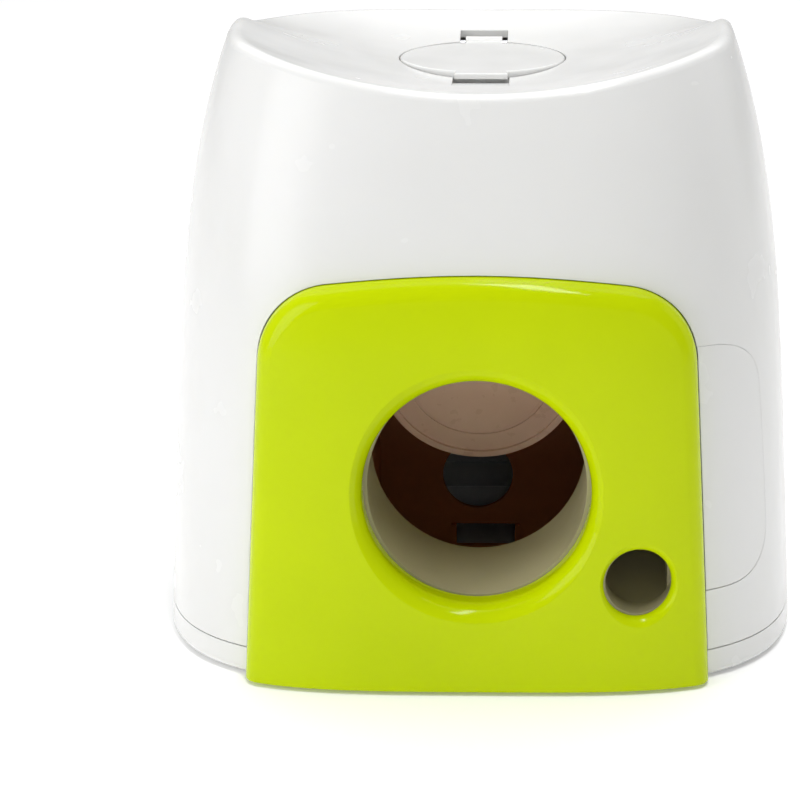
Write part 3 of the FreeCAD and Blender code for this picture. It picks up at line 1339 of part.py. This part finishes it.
def trough_wall(body, word, start, width, along, rise):
    """One wall of the chute, standing on the sloping floor."""
    side = sketch_on(body, "YZ_Plane", f"Chute{word}", start)
    front, rear = along
    outline(side, [(front, f"{chute_floor(front)} - chute_wall"), (rear, f"{chute_floor(rear)} - chute_wall"),
                   (rear, f"{chute_floor(rear)} + {rise}"), (front, f"{chute_floor(front)} + {rise}")])
    pad(body, side, width, f"Chute{word}Wall")


# ---------------------------------------------------------------- feet and screws


def make_feet():
    """Four rubber feet, each a disc with a plug that presses into the tray."""
    feet = []
    places = [(x, y) for x in ("-foot_across", "foot_across") for y in ("foot_front", "foot_back")]
    for number, (across, along) in enumerate(places):
        disc = rod(f"FootDisc{number}", "z", "foot_radius", ("0", "foot_height"), (across, along))
        plug_span = ("0", "foot_height + foot_plug_height")
        plug = rod(f"FootPlug{number}", "z", "foot_plug_radius", plug_span, (across, along))
        feet.append(fused(f"Foot{number}", disc, plug))
    piece("rubber_feet", group("RubberFeet", feet))


def screw(name, axis, seat, into, length, place):
    """A pan-head screw with a cross recess: its head stands at the seat, its shank runs on."""
    toward, back = ("+", "-") if into > 0 else ("-", "+")
    head_span = (f"{seat} {back} screw_head", seat)[::into]
    shank_span = (seat, f"{seat} {toward} ({length})")[::into]
    head = rod(f"{name}Head", axis, "screw_head_radius", head_span, place)
    shank = rod(f"{name}Shank", axis, "screw_radius", shank_span, place)
    recess_span = (f"{seat} {back} screw_head", f"{seat} {back} screw_head {toward} screw_cross_depth")[::into]
    half, reach = "screw_cross_width / 2", "screw_cross_reach"
    bars = []
    for number, sides in enumerate(((half, reach), (reach, half))):
        spans = [(f"{middle} - {side}", f"{middle} + {side}") for middle, side in zip(place, sides)]
        spans.insert("xyz".index(axis), recess_span)
        bars.append(block(f"{name}Bar{number}", *spans))
    return cut(name, fused(f"{name}Form", head, shank), *bars)


def make_screws():
    """Every screw, in one group for each set that shares a job."""
    across = f"({PLATE_OUTER} + plate_foot_width / 2)"
    post_spots = [(x, y) for x in ("-post_across", "post_across") for y in ("post_front", "post_back")]
    foot_spots = [(f"{side} * {across}", f"plate_foot_{end}") for side in (-1, 1) for end in ("front", "back")]
    long, short = "screw_length - screw_tip_gap", "short_screw_length + screw_tip_gap"
    screw_set("base_screws", "BaseScrew", "z", "foot_height + screw_head", 1, long, post_spots)
    screw_set("chassis_screws", "ChassisScrew", "z", "plate_foot_height + plate_wall", -1, short, foot_spots)
    ears = "tunnel_flange + plate_wall"
    screw_set("tunnel_screws", "TunnelScrew", "y", "tunnel_end - tunnel_flange", 1, ears, ear_screw_places())
    screw_set("hopper_screws", "HopperScrew", "z", "hopper_top - hopper_flange", 1, "short_screw_length",
              hopper_ear_places())
    screw_set("housing_screws", "HousingScrew", "x", PLATE_OUTER, -1, short, housing_screw_places())
    walls = "plate_wall + 2 * chute_wall"
    screw_set("chute_screws", "ChuteScrew", "x", "plate_inner", 1, walls, chute_screw_places())
    back_screws = []
    for word, seat, into in (("Left", f"-({PLATE_OUTER})", 1), ("Right", f"({PLATE_OUTER})", -1)):
        back_screws += [screw(f"BackScrew{word}{number}", "x", seat, into, "2 * plate_wall", place)
                        for number, place in enumerate(back_screw_places())]
    piece("back_plate_screws", group("BackScrews", back_screws))
    panel_screws = []
    for number, (place_across, height) in enumerate(panel_screw_places()):
        seat = f"({panel_pad_rear(place_across, height)})"
        place = (f"({place_across})", f"({height})")
        panel_screws.append(screw(f"PanelScrew{number}", "y", seat, -1, long, place))
    piece("panel_screws", group("PanelScrews", panel_screws))


def screw_set(label, name, axis, seat, into, length, places):
    """Equal screws at several places, as one named group."""
    screws = [screw(f"{name}{number}", axis, f"({seat})", into, f"({length})", place)
              for number, place in enumerate(places)]
    piece(label, group(f"{name}s", screws))


def write_pieces():
    """Checks every object and sub-part, then writes each sub-part as a STEP file."""
    document.recompute()
    failed = [item.Name for item in document.Objects if {"Invalid", "Error"} & set(item.State)]
    failed += [name for name, item in PIECES.items() if item.Shape.isNull() or not item.Shape.isValid()]
    if failed:
        raise RuntimeError(f"failed objects: {failed}")
    os.makedirs("parts", exist_ok=True)
    for name, item in PIECES.items():
        item.Shape.exportStep(f"parts/{name}.step")


make_casing()
make_ball_path()
make_chassis()
make_paddle()
shaft_with_fittings("Paddle", (PADDLE_ALONG, "paddle_shaft_height"))
shaft_with_fittings("Drum", ("0", "drum_height"))
make_return_spring()
make_gears()
make_drum()
make_hopper()
make_lid()
make_chute()
make_feet()
make_screws()
write_pieces()
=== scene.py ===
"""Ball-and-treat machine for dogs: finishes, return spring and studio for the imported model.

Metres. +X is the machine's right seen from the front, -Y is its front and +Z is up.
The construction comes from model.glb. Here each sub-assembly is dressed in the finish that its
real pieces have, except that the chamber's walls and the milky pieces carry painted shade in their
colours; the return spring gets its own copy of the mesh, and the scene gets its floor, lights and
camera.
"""

import logging
import math
from dataclasses import dataclass
from enum import Enum

import bpy
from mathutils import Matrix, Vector


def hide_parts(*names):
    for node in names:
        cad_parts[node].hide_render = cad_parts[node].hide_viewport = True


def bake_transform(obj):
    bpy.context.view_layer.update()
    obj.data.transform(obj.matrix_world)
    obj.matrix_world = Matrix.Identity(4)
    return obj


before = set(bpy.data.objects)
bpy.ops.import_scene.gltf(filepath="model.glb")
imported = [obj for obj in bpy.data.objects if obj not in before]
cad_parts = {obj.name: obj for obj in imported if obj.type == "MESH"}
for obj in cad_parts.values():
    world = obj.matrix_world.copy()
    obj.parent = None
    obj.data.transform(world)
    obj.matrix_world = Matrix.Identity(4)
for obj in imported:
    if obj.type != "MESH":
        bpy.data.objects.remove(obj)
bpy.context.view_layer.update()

logging.basicConfig(level=logging.INFO, format="%(message)s")
log = logging.getLogger("machine")

Material = bpy.types.Material
Node = bpy.types.Node
Object = bpy.types.Object
Socket = bpy.types.NodeSocket
Tree = bpy.types.ShaderNodeTree
Colour = tuple[float, float, float, float]
Triple = tuple[float, float, float]

MM = 0.001

# Soft noise gathers round its middle, so these values count as its darkest and its lightest.
NOISE_LOW, NOISE_HIGH = 0.3, 0.7
PATCH_DETAIL = 3.0
EDGE_SAMPLES = 6


# ---------------------------------------------------------------- shared helpers


def linear(code: str) -> Colour:
    """Turns an sRGB hex colour into linear light, with the sRGB curve's own numbers.

    Args:
        code: The colour as "#RRGGBB".

    Returns:
        Red, green, blue and an alpha of one.
    """
    shares = [int(code[start:start + 2], 16) / 255 for start in (1, 3, 5)]
    red, green, blue = (
        share / 12.92 if share <= 0.04045 else ((share + 0.055) / 1.055) ** 2.4
        for share in shares
    )
    return red, green, blue, 1.0


def per_metre(millimetres: float) -> float:
    """Gives a pattern's scale from the real size of one of its features.

    Args:
        millimetres: The feature's size.

    Returns:
        How many such features lie in a metre.
    """
    return 1.0 / (millimetres * MM)


def add_node(
    tree: Tree, kind: str, settings: dict | None = None, links: dict | None = None
) -> Node:
    """Adds one shader node with its settings and links.

    Args:
        tree: The material's node tree.
        kind: The node's type, without the leading "ShaderNode".
        settings: Values for its inputs, or for its own properties where no input has that name.
        links: Sockets to join to its inputs, by the input's name.

    Returns:
        The new node.
    """
    node = tree.nodes.new(f"ShaderNode{kind}")
    for name, value in (settings or {}).items():
        if name in node.inputs:
            node.inputs[name].default_value = value
        else:
            setattr(node, name, value)
    for name, socket in (links or {}).items():
        tree.links.new(socket, node.inputs[name])
    return node


def new_material(name: str, settings: dict) -> tuple[Material, Tree, Node]:
    """Starts a material that holds one surface shader.

    Args:
        name: The finish's name.
        settings: The surface shader's own values.

    Returns:
        The material, its tree and its surface shader.
    """
    material = bpy.data.materials.new(name)
    material.use_nodes = True
    tree = material.node_tree
    tree.nodes.clear()
    shader = add_node(tree, "BsdfPrincipled", settings)
    add_node(tree, "OutputMaterial", links={"Surface": shader.outputs["BSDF"]})
    return material, tree, shader


def mottled(
    tree: Tree, place: Socket, patch: float, low: Colour | float, high: Colour | float
) -> Socket:
    """Spreads a value or a colour unevenly over a surface.

    Args:
        tree: The material's node tree.
        place: The coordinates that the pattern follows.
        patch: The size of one patch, in millimetres.
        low: What the darkest patches get.
        high: What the lightest patches get.

    Returns:
        The uneven value or colour.
    """
    settings = {"Scale": per_metre(patch), "Detail": PATCH_DETAIL}
    noise = add_node(tree, "TexNoise", settings, {"Vector": place}).outputs["Fac"]
    if isinstance(low, tuple):
        ramp = add_node(tree, "ValToRGB", links={"Fac": noise})
        stops = zip(ramp.color_ramp.elements, (NOISE_LOW, NOISE_HIGH), (low, high))
        for stop, position, colour in stops:
            stop.position, stop.color = position, colour
        return ramp.outputs["Color"]
    spread = {"From Min": NOISE_LOW, "From Max": NOISE_HIGH, "To Min": low, "To Max": high}
    return add_node(tree, "MapRange", spread, {"Value": noise}).outputs["Result"]


def relief(tree: Tree, height: Socket, depth: float, edge: float) -> Socket:
    """Turns a height pattern into a bumped surface, with rounded edges where asked.

    Args:
        tree: The material's node tree.
        height: The pattern, from zero to one.
        depth: How deep the pattern is, in millimetres.
        edge: The radius that sharp edges get, in millimetres, or zero to leave them.

    Returns:
        The surface's direction, for a shader.
    """
    links = {"Height": height}
    if edge:
        rounding = {"Radius": edge * MM, "samples": EDGE_SAMPLES}
        links["Normal"] = add_node(tree, "Bevel", rounding).outputs["Normal"]
    return add_node(tree, "Bump", {"Distance": depth * MM}, links).outputs["Normal"]


def put(name: str, data: bpy.types.ID) -> Object:
    """Puts a new object into the scene.

    Args:
        name: The object's name.
        data: Its mesh, light or camera.

    Returns:
        The new object.
    """
    item = bpy.data.objects.new(name, data)
    bpy.context.scene.collection.objects.link(item)
    return item


def point(item: Object, place: Triple, target: Triple) -> None:
    """Moves a light or a camera to its place and turns it to its target."""
    item.location = place
    item.rotation_euler = (Vector(target) - item.location).to_track_quat("-Z", "Y").to_euler()


# ---------------------------------------------------------------- finishes


@dataclass(frozen=True)
class Surface:
    """What every finish has: two tones, an uneven gloss, a fine relief and softened edges.

    The sizes of the patches and of the grain, the grain's depth and the edges' radius are in
    millimetres.
    """

    name: str
    light: str
    shade: str
    roughness: tuple[float, float]
    tone_patch: float
    gloss_patch: float
    grain: float
    grain_depth: float
    grain_detail: float = 2.0
    edge: float = 0.0

    def settings(self) -> dict:
        """Gives the shader values that mark the kind of material."""
        return {}

    def height(self, tree: Tree, place: Socket) -> Socket:
        """Draws the relief's height: an even grain, unless the finish has marks of its own."""
        settings = {"Scale": per_metre(self.grain), "Detail": self.grain_detail}
        return add_node(tree, "TexNoise", settings, {"Vector": place}).outputs["Fac"]

    def build(self) -> Material:
        """Makes the material, with tone, gloss and relief that change over the piece.

        Returns:
            The new material.
        """
        material, tree, shader = new_material(self.name, self.settings())
        place = add_node(tree, "TexCoord").outputs["Object"]
        colour = mottled(tree, place, self.tone_patch, linear(self.shade), linear(self.light))
        gloss = mottled(tree, place, self.gloss_patch, *self.roughness)
        normal = relief(tree, self.height(tree, place), self.grain_depth, self.edge)
        for name, socket in (("Base Color", colour), ("Roughness", gloss), ("Normal", normal)):
            tree.links.new(socket, shader.inputs[name])
        return material


@dataclass(frozen=True)
class Moulded(Surface):
    """A moulded plastic or rubber, which lets some light in and gives it back close by.

    The inner reach is how far red, green and blue travel inside, in the shader's own measure.
    """

    ior: float = 1.5
    shine: float = 0.5
    inner_share: float = 0.0
    inner_reach: Triple = (0.001, 0.001, 0.001)

    def settings(self) -> dict:
        """Gives the plastic's index, its shine and the light that it lets in.

        Returns:
            The shader's values, by the names of its inputs.
        """
        return {
            "IOR": self.ior,
            "Specular IOR Level": self.shine,
            "Subsurface Weight": self.inner_share,
            "Subsurface Radius": self.inner_reach,
        }


@dataclass(frozen=True)
class BareMetal(Surface):
    """A metal without paint, which keeps the shader's own index."""

    def settings(self) -> dict:
        """Makes the shader wholly metallic."""
        return {"Metallic": 1.0}


@dataclass(frozen=True)
class PolishedWhiteAbs(Moulded):
    """ABS from a polished tool: soft broad highlights over the faint ripple of the melt's flow."""

    name: str = "polished_white_abs"
    light: str = "#EAEAE9"
    shade: str = "#E6E6E4"
    roughness: tuple[float, float] = (0.2, 0.28)
    tone_patch: float = 104.0
    gloss_patch: float = 26.0
    grain: float = 26.0  # one ripple of the melt
    grain_depth: float = 0.03
    grain_detail: float = 1.0
    edge: float = 0.5
    ior: float = 1.54
    shine: float = 0.3
    inner_share: float = 0.12
    inner_reach: Triple = (0.004, 0.0036, 0.003)


@dataclass(frozen=True)
class PolishedLimeAbs(Moulded):
    """Lime ABS from a polished tool: deep even colour under sharp, bright reflections."""

    name: str = "polished_lime_abs"
    light: str = "#C8DB00"
    shade: str = "#C1D500"
    roughness: tuple[float, float] = (0.06, 0.10)
    tone_patch: float = 90.0
    gloss_patch: float = 30.0
    grain: float = 30.0  # one ripple of the melt
    grain_depth: float = 0.02
    grain_detail: float = 1.0
    edge: float = 0.5
    ior: float = 1.42
    shine: float = 0.18
    inner_share: float = 0.2
    inner_reach: Triple = (0.003, 0.003, 0.0006)


@dataclass(frozen=True)
class SatinPolypropylene(Moulded):
    """Unpainted polypropylene, moulded thin and milky, with a fine spark-eroded grain; its tones
    are darkened and warmed as painted shade and painted warm bounce light.
    """

    name: str = "satin_polypropylene"
    # painted shade and painted warm bounce light: both tones are darker and warmer than the pale
    # plastic
    light: str = "#B4AC8B"
    shade: str = "#A8A07F"
    roughness: tuple[float, float] = (0.32, 0.42)
    tone_patch: float = 40.0
    gloss_patch: float = 8.0
    grain: float = 0.6  # spark-eroded grain, drawn coarse enough to show
    grain_depth: float = 0.01
    edge: float = 0.3
    ior: float = 1.49
    inner_share: float = 0.15
    inner_reach: Triple = (0.003, 0.002, 0.001)


@dataclass(frozen=True)
class PaintedWarmShadePolypropylene(Moulded):
    """Polypropylene walls whose amber brown is painted warm shade for the chamber; light soaks in
    and leaves warmer.
    """

    name: str = "amber_polypropylene"
    # painted warm shade: both tones stand in for the chamber's dim, warm light on pale walls
    light: str = "#E09665"
    shade: str = "#D18856"
    roughness: tuple[float, float] = (0.34, 0.45)
    tone_patch: float = 30.0
    gloss_patch: float = 8.0
    grain: float = 0.6  # spark-eroded grain, drawn coarse enough to show
    grain_depth: float = 0.01
    edge: float = 0.3
    ior: float = 1.49
    inner_share: float = 0.35
    inner_reach: Triple = (0.008, 0.002, 0.0008)


@dataclass(frozen=True)
class SatinBeigeAbs(Moulded):
    """Beige ABS with a satin face: a little pinker than the walls, softly scuffed by balls."""

    name: str = "satin_beige_abs"
    light: str = "#DDBBA9"
    shade: str = "#D5B09E"
    roughness: tuple[float, float] = (0.26, 0.36)
    tone_patch: float = 18.0
    gloss_patch: float = 5.0
    grain: float = 5.0  # one scuff
    grain_depth: float = 0.0008
    grain_detail: float = 6.0
    edge: float = 0.35
    ior: float = 1.54
    inner_share: float = 0.2
    inner_reach: Triple = (0.005, 0.003, 0.002)


@dataclass(frozen=True)
class MouldedAcetal(Moulded):
    """Natural acetal: a waxy, dense white that slides dry on steel, duller in patches."""

    name: str = "moulded_acetal"
    light: str = "#E9E6DA"
    shade: str = "#DFDBCD"
    roughness: tuple[float, float] = (0.35, 0.5)
    tone_patch: float = 6.0
    gloss_patch: float = 2.0
    grain: float = 0.5
    grain_depth: float = 0.008
    edge: float = 0.15
    ior: float = 1.48
    inner_share: float = 0.3
    inner_reach: Triple = (0.002, 0.002, 0.0016)


@dataclass(frozen=True)
class MouldedRubber(Moulded):
    """Soft moulded rubber: matt dark grey with a dusty bloom and a fine skin."""

    name: str = "moulded_rubber"
    light: str = "#3A3A3B"
    shade: str = "#2A2A2B"
    roughness: tuple[float, float] = (0.7, 0.85)
    tone_patch: float = 3.0
    gloss_patch: float = 2.0
    grain: float = 0.4
    grain_depth: float = 0.02
    grain_detail: float = 4.0
    edge: float = 0.3
    ior: float = 1.52


@dataclass(frozen=True)
class TurnedSteel(BareMetal):
    """Free-cutting steel, turned bright: fine rings round the shaft that smear its highlight."""

    name: str = "turned_steel"
    light: str = "#C9CACC"
    shade: str = "#AEB0B3"
    roughness: tuple[float, float] = (0.2, 0.34)
    tone_patch: float = 5.0
    gloss_patch: float = 3.0
    grain: float = 0.35  # the lathe tool's feed marks, drawn coarse enough to show
    grain_depth: float = 0.006
    edge: float = 0.1
    wander: float = 0.6

    def height(self, tree: Tree, place: Socket) -> Socket:
        """Draws the feed marks, as rings about two feeds apart that wander a little."""
        settings = {"Scale": per_metre(self.grain) / (2 * math.pi), "Distortion": self.wander}
        return add_node(tree, "TexWave", settings, {"Vector": place}).outputs["Fac"]


@dataclass(frozen=True)
class ZincPlatedSteel(BareMetal):
    """Screws plated in clear zinc: a cool grey whose sheen changes in small clouds."""

    name: str = "zinc_plated_steel"
    light: str = "#C6CAD0"
    shade: str = "#A3A8B0"
    roughness: tuple[float, float] = (0.28, 0.42)
    tone_patch: float = 1.2
    gloss_patch: float = 1.2
    grain: float = 0.4  # pits under the plating, drawn coarse enough to show
    grain_depth: float = 0.006
    grain_detail: float = 4.0
    edge: float = 0.12


@dataclass(frozen=True)
class DrawnSpringWire(BareMetal):
    """Hard-drawn spring wire and stamped clips: dark steel under an uneven film of oil."""

    name: str = "drawn_spring_wire"
    light: str = "#8C8D90"
    shade: str = "#66676A"
    roughness: tuple[float, float] = (0.22, 0.38)
    tone_patch: float = 2.0
    gloss_patch: float = 1.0
    grain: float = 0.3
    grain_depth: float = 0.004


@dataclass(frozen=True)
class SinteredBronze(BareMetal):
    """Pressed and sintered bronze: dull brown-gold, full of fine pores that hold oil."""

    name: str = "sintered_bronze"
    light: str = "#A9824E"
    shade: str = "#7C5C35"
    roughness: tuple[float, float] = (0.42, 0.6)
    tone_patch: float = 1.0
    gloss_patch: float = 1.0
    grain: float = 0.35  # one pore, drawn large enough to show
    grain_depth: float = 0.03
    edge: float = 0.15

    def height(self, tree: Tree, place: Socket) -> Socket:
        """Draws the pores, deepest in the middle of each."""
        settings = {"Scale": per_metre(self.grain)}
        return add_node(tree, "TexVoronoi", settings, {"Vector": place}).outputs["Distance"]


class Finish(Enum):
    """The finishes that the machine's pieces are dressed in."""

    WHITE = PolishedWhiteAbs()
    LIME = PolishedLimeAbs()
    # its tones carry painted shade and painted warm bounce light
    MILKY = SatinPolypropylene()
    # painted warm shade for the ball chamber's walls
    AMBER = PaintedWarmShadePolypropylene()
    BEIGE = SatinBeigeAbs()
    ACETAL = MouldedAcetal()
    SHAFT = TurnedSteel()
    ZINC = ZincPlatedSteel()
    WIRE = DrawnSpringWire()
    BRONZE = SinteredBronze()
    RUBBER = MouldedRubber()

    def material(self) -> Material:
        """Gives the finish's material, made once."""
        return bpy.data.materials.get(self.value.name) or self.value.build()


def coat(piece: Object, finish: Finish) -> None:
    """Gives a piece its finish.

    Args:
        piece: The piece, whose old material goes.
        finish: The finish that the real piece has.
    """
    piece.data.materials.clear()
    piece.data.materials.append(finish.material())
    log.info("%s: %s", piece.name, finish.value.name)


def dress(finish: Finish, *nodes: str) -> None:
    """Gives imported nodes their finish, by the nodes' names."""
    for node in nodes:
        coat(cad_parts[node], finish)


# ---------------------------------------------------------------- sub-assemblies


@dataclass
class Casing:
    """The body's skins: shell, tray, side cover and lime front panel."""

    skins: tuple[str, ...] = ("outer_shell", "base_tray", "side_cover")

    def build(self) -> None:
        """Dresses the white skins and the lime panel."""
        dress(Finish.WHITE, *self.skins)
        dress(Finish.LIME, "front_panel")


@dataclass
class Lid:
    """The flip lid and its hinge pin."""

    def build(self) -> None:
        """Dresses the lid and its pin."""
        dress(Finish.WHITE, "treat_lid")
        dress(Finish.SHAFT, "lid_hinge_pin")


@dataclass
class BallPath:
    """The tunnel, the outlet tube and the walls of the ball chamber."""

    tubes: tuple[str, ...] = ("ball_tunnel", "outlet_tube")
    walls: tuple[str, ...] = ("left_side_plate", "right_side_plate", "back_plate")

    def build(self) -> None:
        """Dresses the tubes in milky polypropylene, whose tones carry painted shade, and the walls
        in painted warm shade.
        """
        dress(Finish.MILKY, *self.tubes)
        # the chamber's walls get painted warm shade in their colour
        dress(Finish.AMBER, *self.walls)


@dataclass
class PaddleDrive:
    """The paddle, its spring and stops, and the gears and shafts that it turns.

    The length of the spring's coil and the radius of its wire are in millimetres; neither is used.
    """

    gears: tuple[str, ...] = ("sector_gear", "drum_pinion")
    shafts: tuple[str, ...] = ("paddle_shaft", "drum_shaft")
    coil_length: float = 11.4
    wire_radius: float = 0.6

    def build(self) -> None:
        """Dresses the paddle, its spring and stops, the gears and each shaft's fittings."""
        dress(Finish.BEIGE, "ball_paddle")
        self.wind_spring()
        dress(Finish.RUBBER, "paddle_stop_pads")
        dress(Finish.ACETAL, *self.gears)
        for shaft in self.shafts:
            dress(Finish.SHAFT, shaft)
            dress(Finish.WIRE, f"{shaft}_clips")
            dress(Finish.BRONZE, f"{shaft}_bushes")

    def wind_spring(self) -> None:
        """Copies the spring's mesh into a new object in the wire finish, bakes its placing and
        hides the imported one.
        """
        node = "paddle_return_spring"
        spring = put("return_spring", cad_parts[node].data.copy())
        coat(spring, Finish.WIRE)
        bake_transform(spring)
        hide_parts(node)


@dataclass
class TreatFeed:
    """The hopper, the drum in its housing and the chute."""

    shells: tuple[str, ...] = ("treat_hopper", "drum_housing", "treat_chute")

    def build(self) -> None:
        """Dresses the treat path."""
        # the milky pieces carry painted shade in their tones
        dress(Finish.MILKY, *self.shells)
        dress(Finish.BEIGE, "treat_drum")


@dataclass
class Hardware:
    """Feet and screws."""

    sets: tuple[str, ...] = (
        "base", "chassis", "tunnel", "hopper", "housing", "back_plate", "chute", "panel",
    )

    def build(self) -> None:
        """Dresses the feet and every set of screws."""
        dress(Finish.RUBBER, "rubber_feet")
        dress(Finish.ZINC, *(f"{word}_screws" for word in self.sets))


# ---------------------------------------------------------------- studio


@dataclass(frozen=True)
class SoftBox:
    """One soft light: where it hangs, how large and how strong it is, and what it points at."""

    name: str
    place: Triple
    size: tuple[float, float]
    watts: float
    target: Triple = (0.0, 0.0, 0.12)

    def build(self) -> None:
        """Hangs the light, turned towards the machine."""
        lamp = bpy.data.lights.new(self.name, "AREA")
        lamp.shape = "RECTANGLE"
        lamp.size, lamp.size_y = self.size
        lamp.energy = self.watts
        point(put(self.name, lamp), self.place, self.target)


@dataclass
class Studio:
    """A pale floor, a dim white surround, soft lights and the camera.

    The floor's reach is in metres each way. Its glow and the surround are strengths of light.
    The camera's lens and sensor are in millimetres.
    """

    floor_reach: float = 30.0
    floor_colour: str = "#FCFCFC"
    floor_roughness: float = 0.9
    floor_glow: float = 0.12
    surround_colour: str = "#FFFFFF"
    surround: float = 0.22
    eye: Triple = (0.019, -1.091, 0.412)
    target: Triple = (0.0, 0.0, 0.0775)
    lens: float = 130.0
    sensor: float = 36.0
    shift: tuple[float, float] = (-0.102, 0.0)
    lights: tuple[SoftBox, ...] = (
        SoftBox("key", place=(-1.0, -0.75, 0.5), size=(0.75, 0.9), watts=6.2),
        SoftBox("top", place=(0.0, 0.95, 2.1), size=(3.4, 3.0), watts=51.0),
        SoftBox("right", place=(1.3, 0.2, 0.5), size=(0.8, 1.0), watts=1.2),
        SoftBox("strip", place=(0.139, -0.46, 1.45), size=(0.19, 0.75), watts=8.0),
    )

    def build(self) -> None:
        """Sets up the whole studio."""
        self.lay_floor()
        self.light_surround()
        for light in self.lights:
            light.build()
        self.place_camera()
        bpy.context.scene.view_settings.view_transform = "Standard"
        log.info("studio: %d lights", len(self.lights))

    def lay_floor(self) -> None:
        """Lays the pale floor, which glows a little, so that it stays bright far out."""
        reach = self.floor_reach
        corners = [(-reach, -reach, 0), (reach, -reach, 0), (reach, reach, 0), (-reach, reach, 0)]
        mesh = bpy.data.meshes.new("floor")
        mesh.from_pydata(corners, [], [(0, 1, 2, 3)])
        settings = {
            "Base Color": linear(self.floor_colour),
            "Roughness": self.floor_roughness,
            "Emission Color": linear(self.floor_colour),
            "Emission Strength": self.floor_glow,
        }
        mesh.materials.append(new_material("pale_floor", settings)[0])
        put("floor", mesh)

    def light_surround(self) -> None:
        """Fills the space round the machine with dim, even white light."""
        world = bpy.data.worlds.new("surround")
        world.use_nodes = True
        backdrop = world.node_tree.nodes["Background"]
        backdrop.inputs["Color"].default_value = linear(self.surround_colour)
        backdrop.inputs["Strength"].default_value = self.surround
        bpy.context.scene.world = world

    def place_camera(self) -> None:
        """Sets the camera about a metre before the machine, looking a little down on it."""
        optics = bpy.data.cameras.new("camera")
        optics.lens = self.lens
        optics.sensor_width = self.sensor
        optics.shift_x, optics.shift_y = self.shift
        camera = put("camera", optics)
        point(camera, self.eye, self.target)
        bpy.context.scene.camera = camera


def main() -> None:
    """Builds the machine's sub-assemblies and the studio, in order."""
    assemblies = (Casing(), Lid(), BallPath(), PaddleDrive(), TreatFeed(), Hardware())
    for part in (*assemblies, Studio()):
        part.build()


if __name__ == "__main__":
    main()
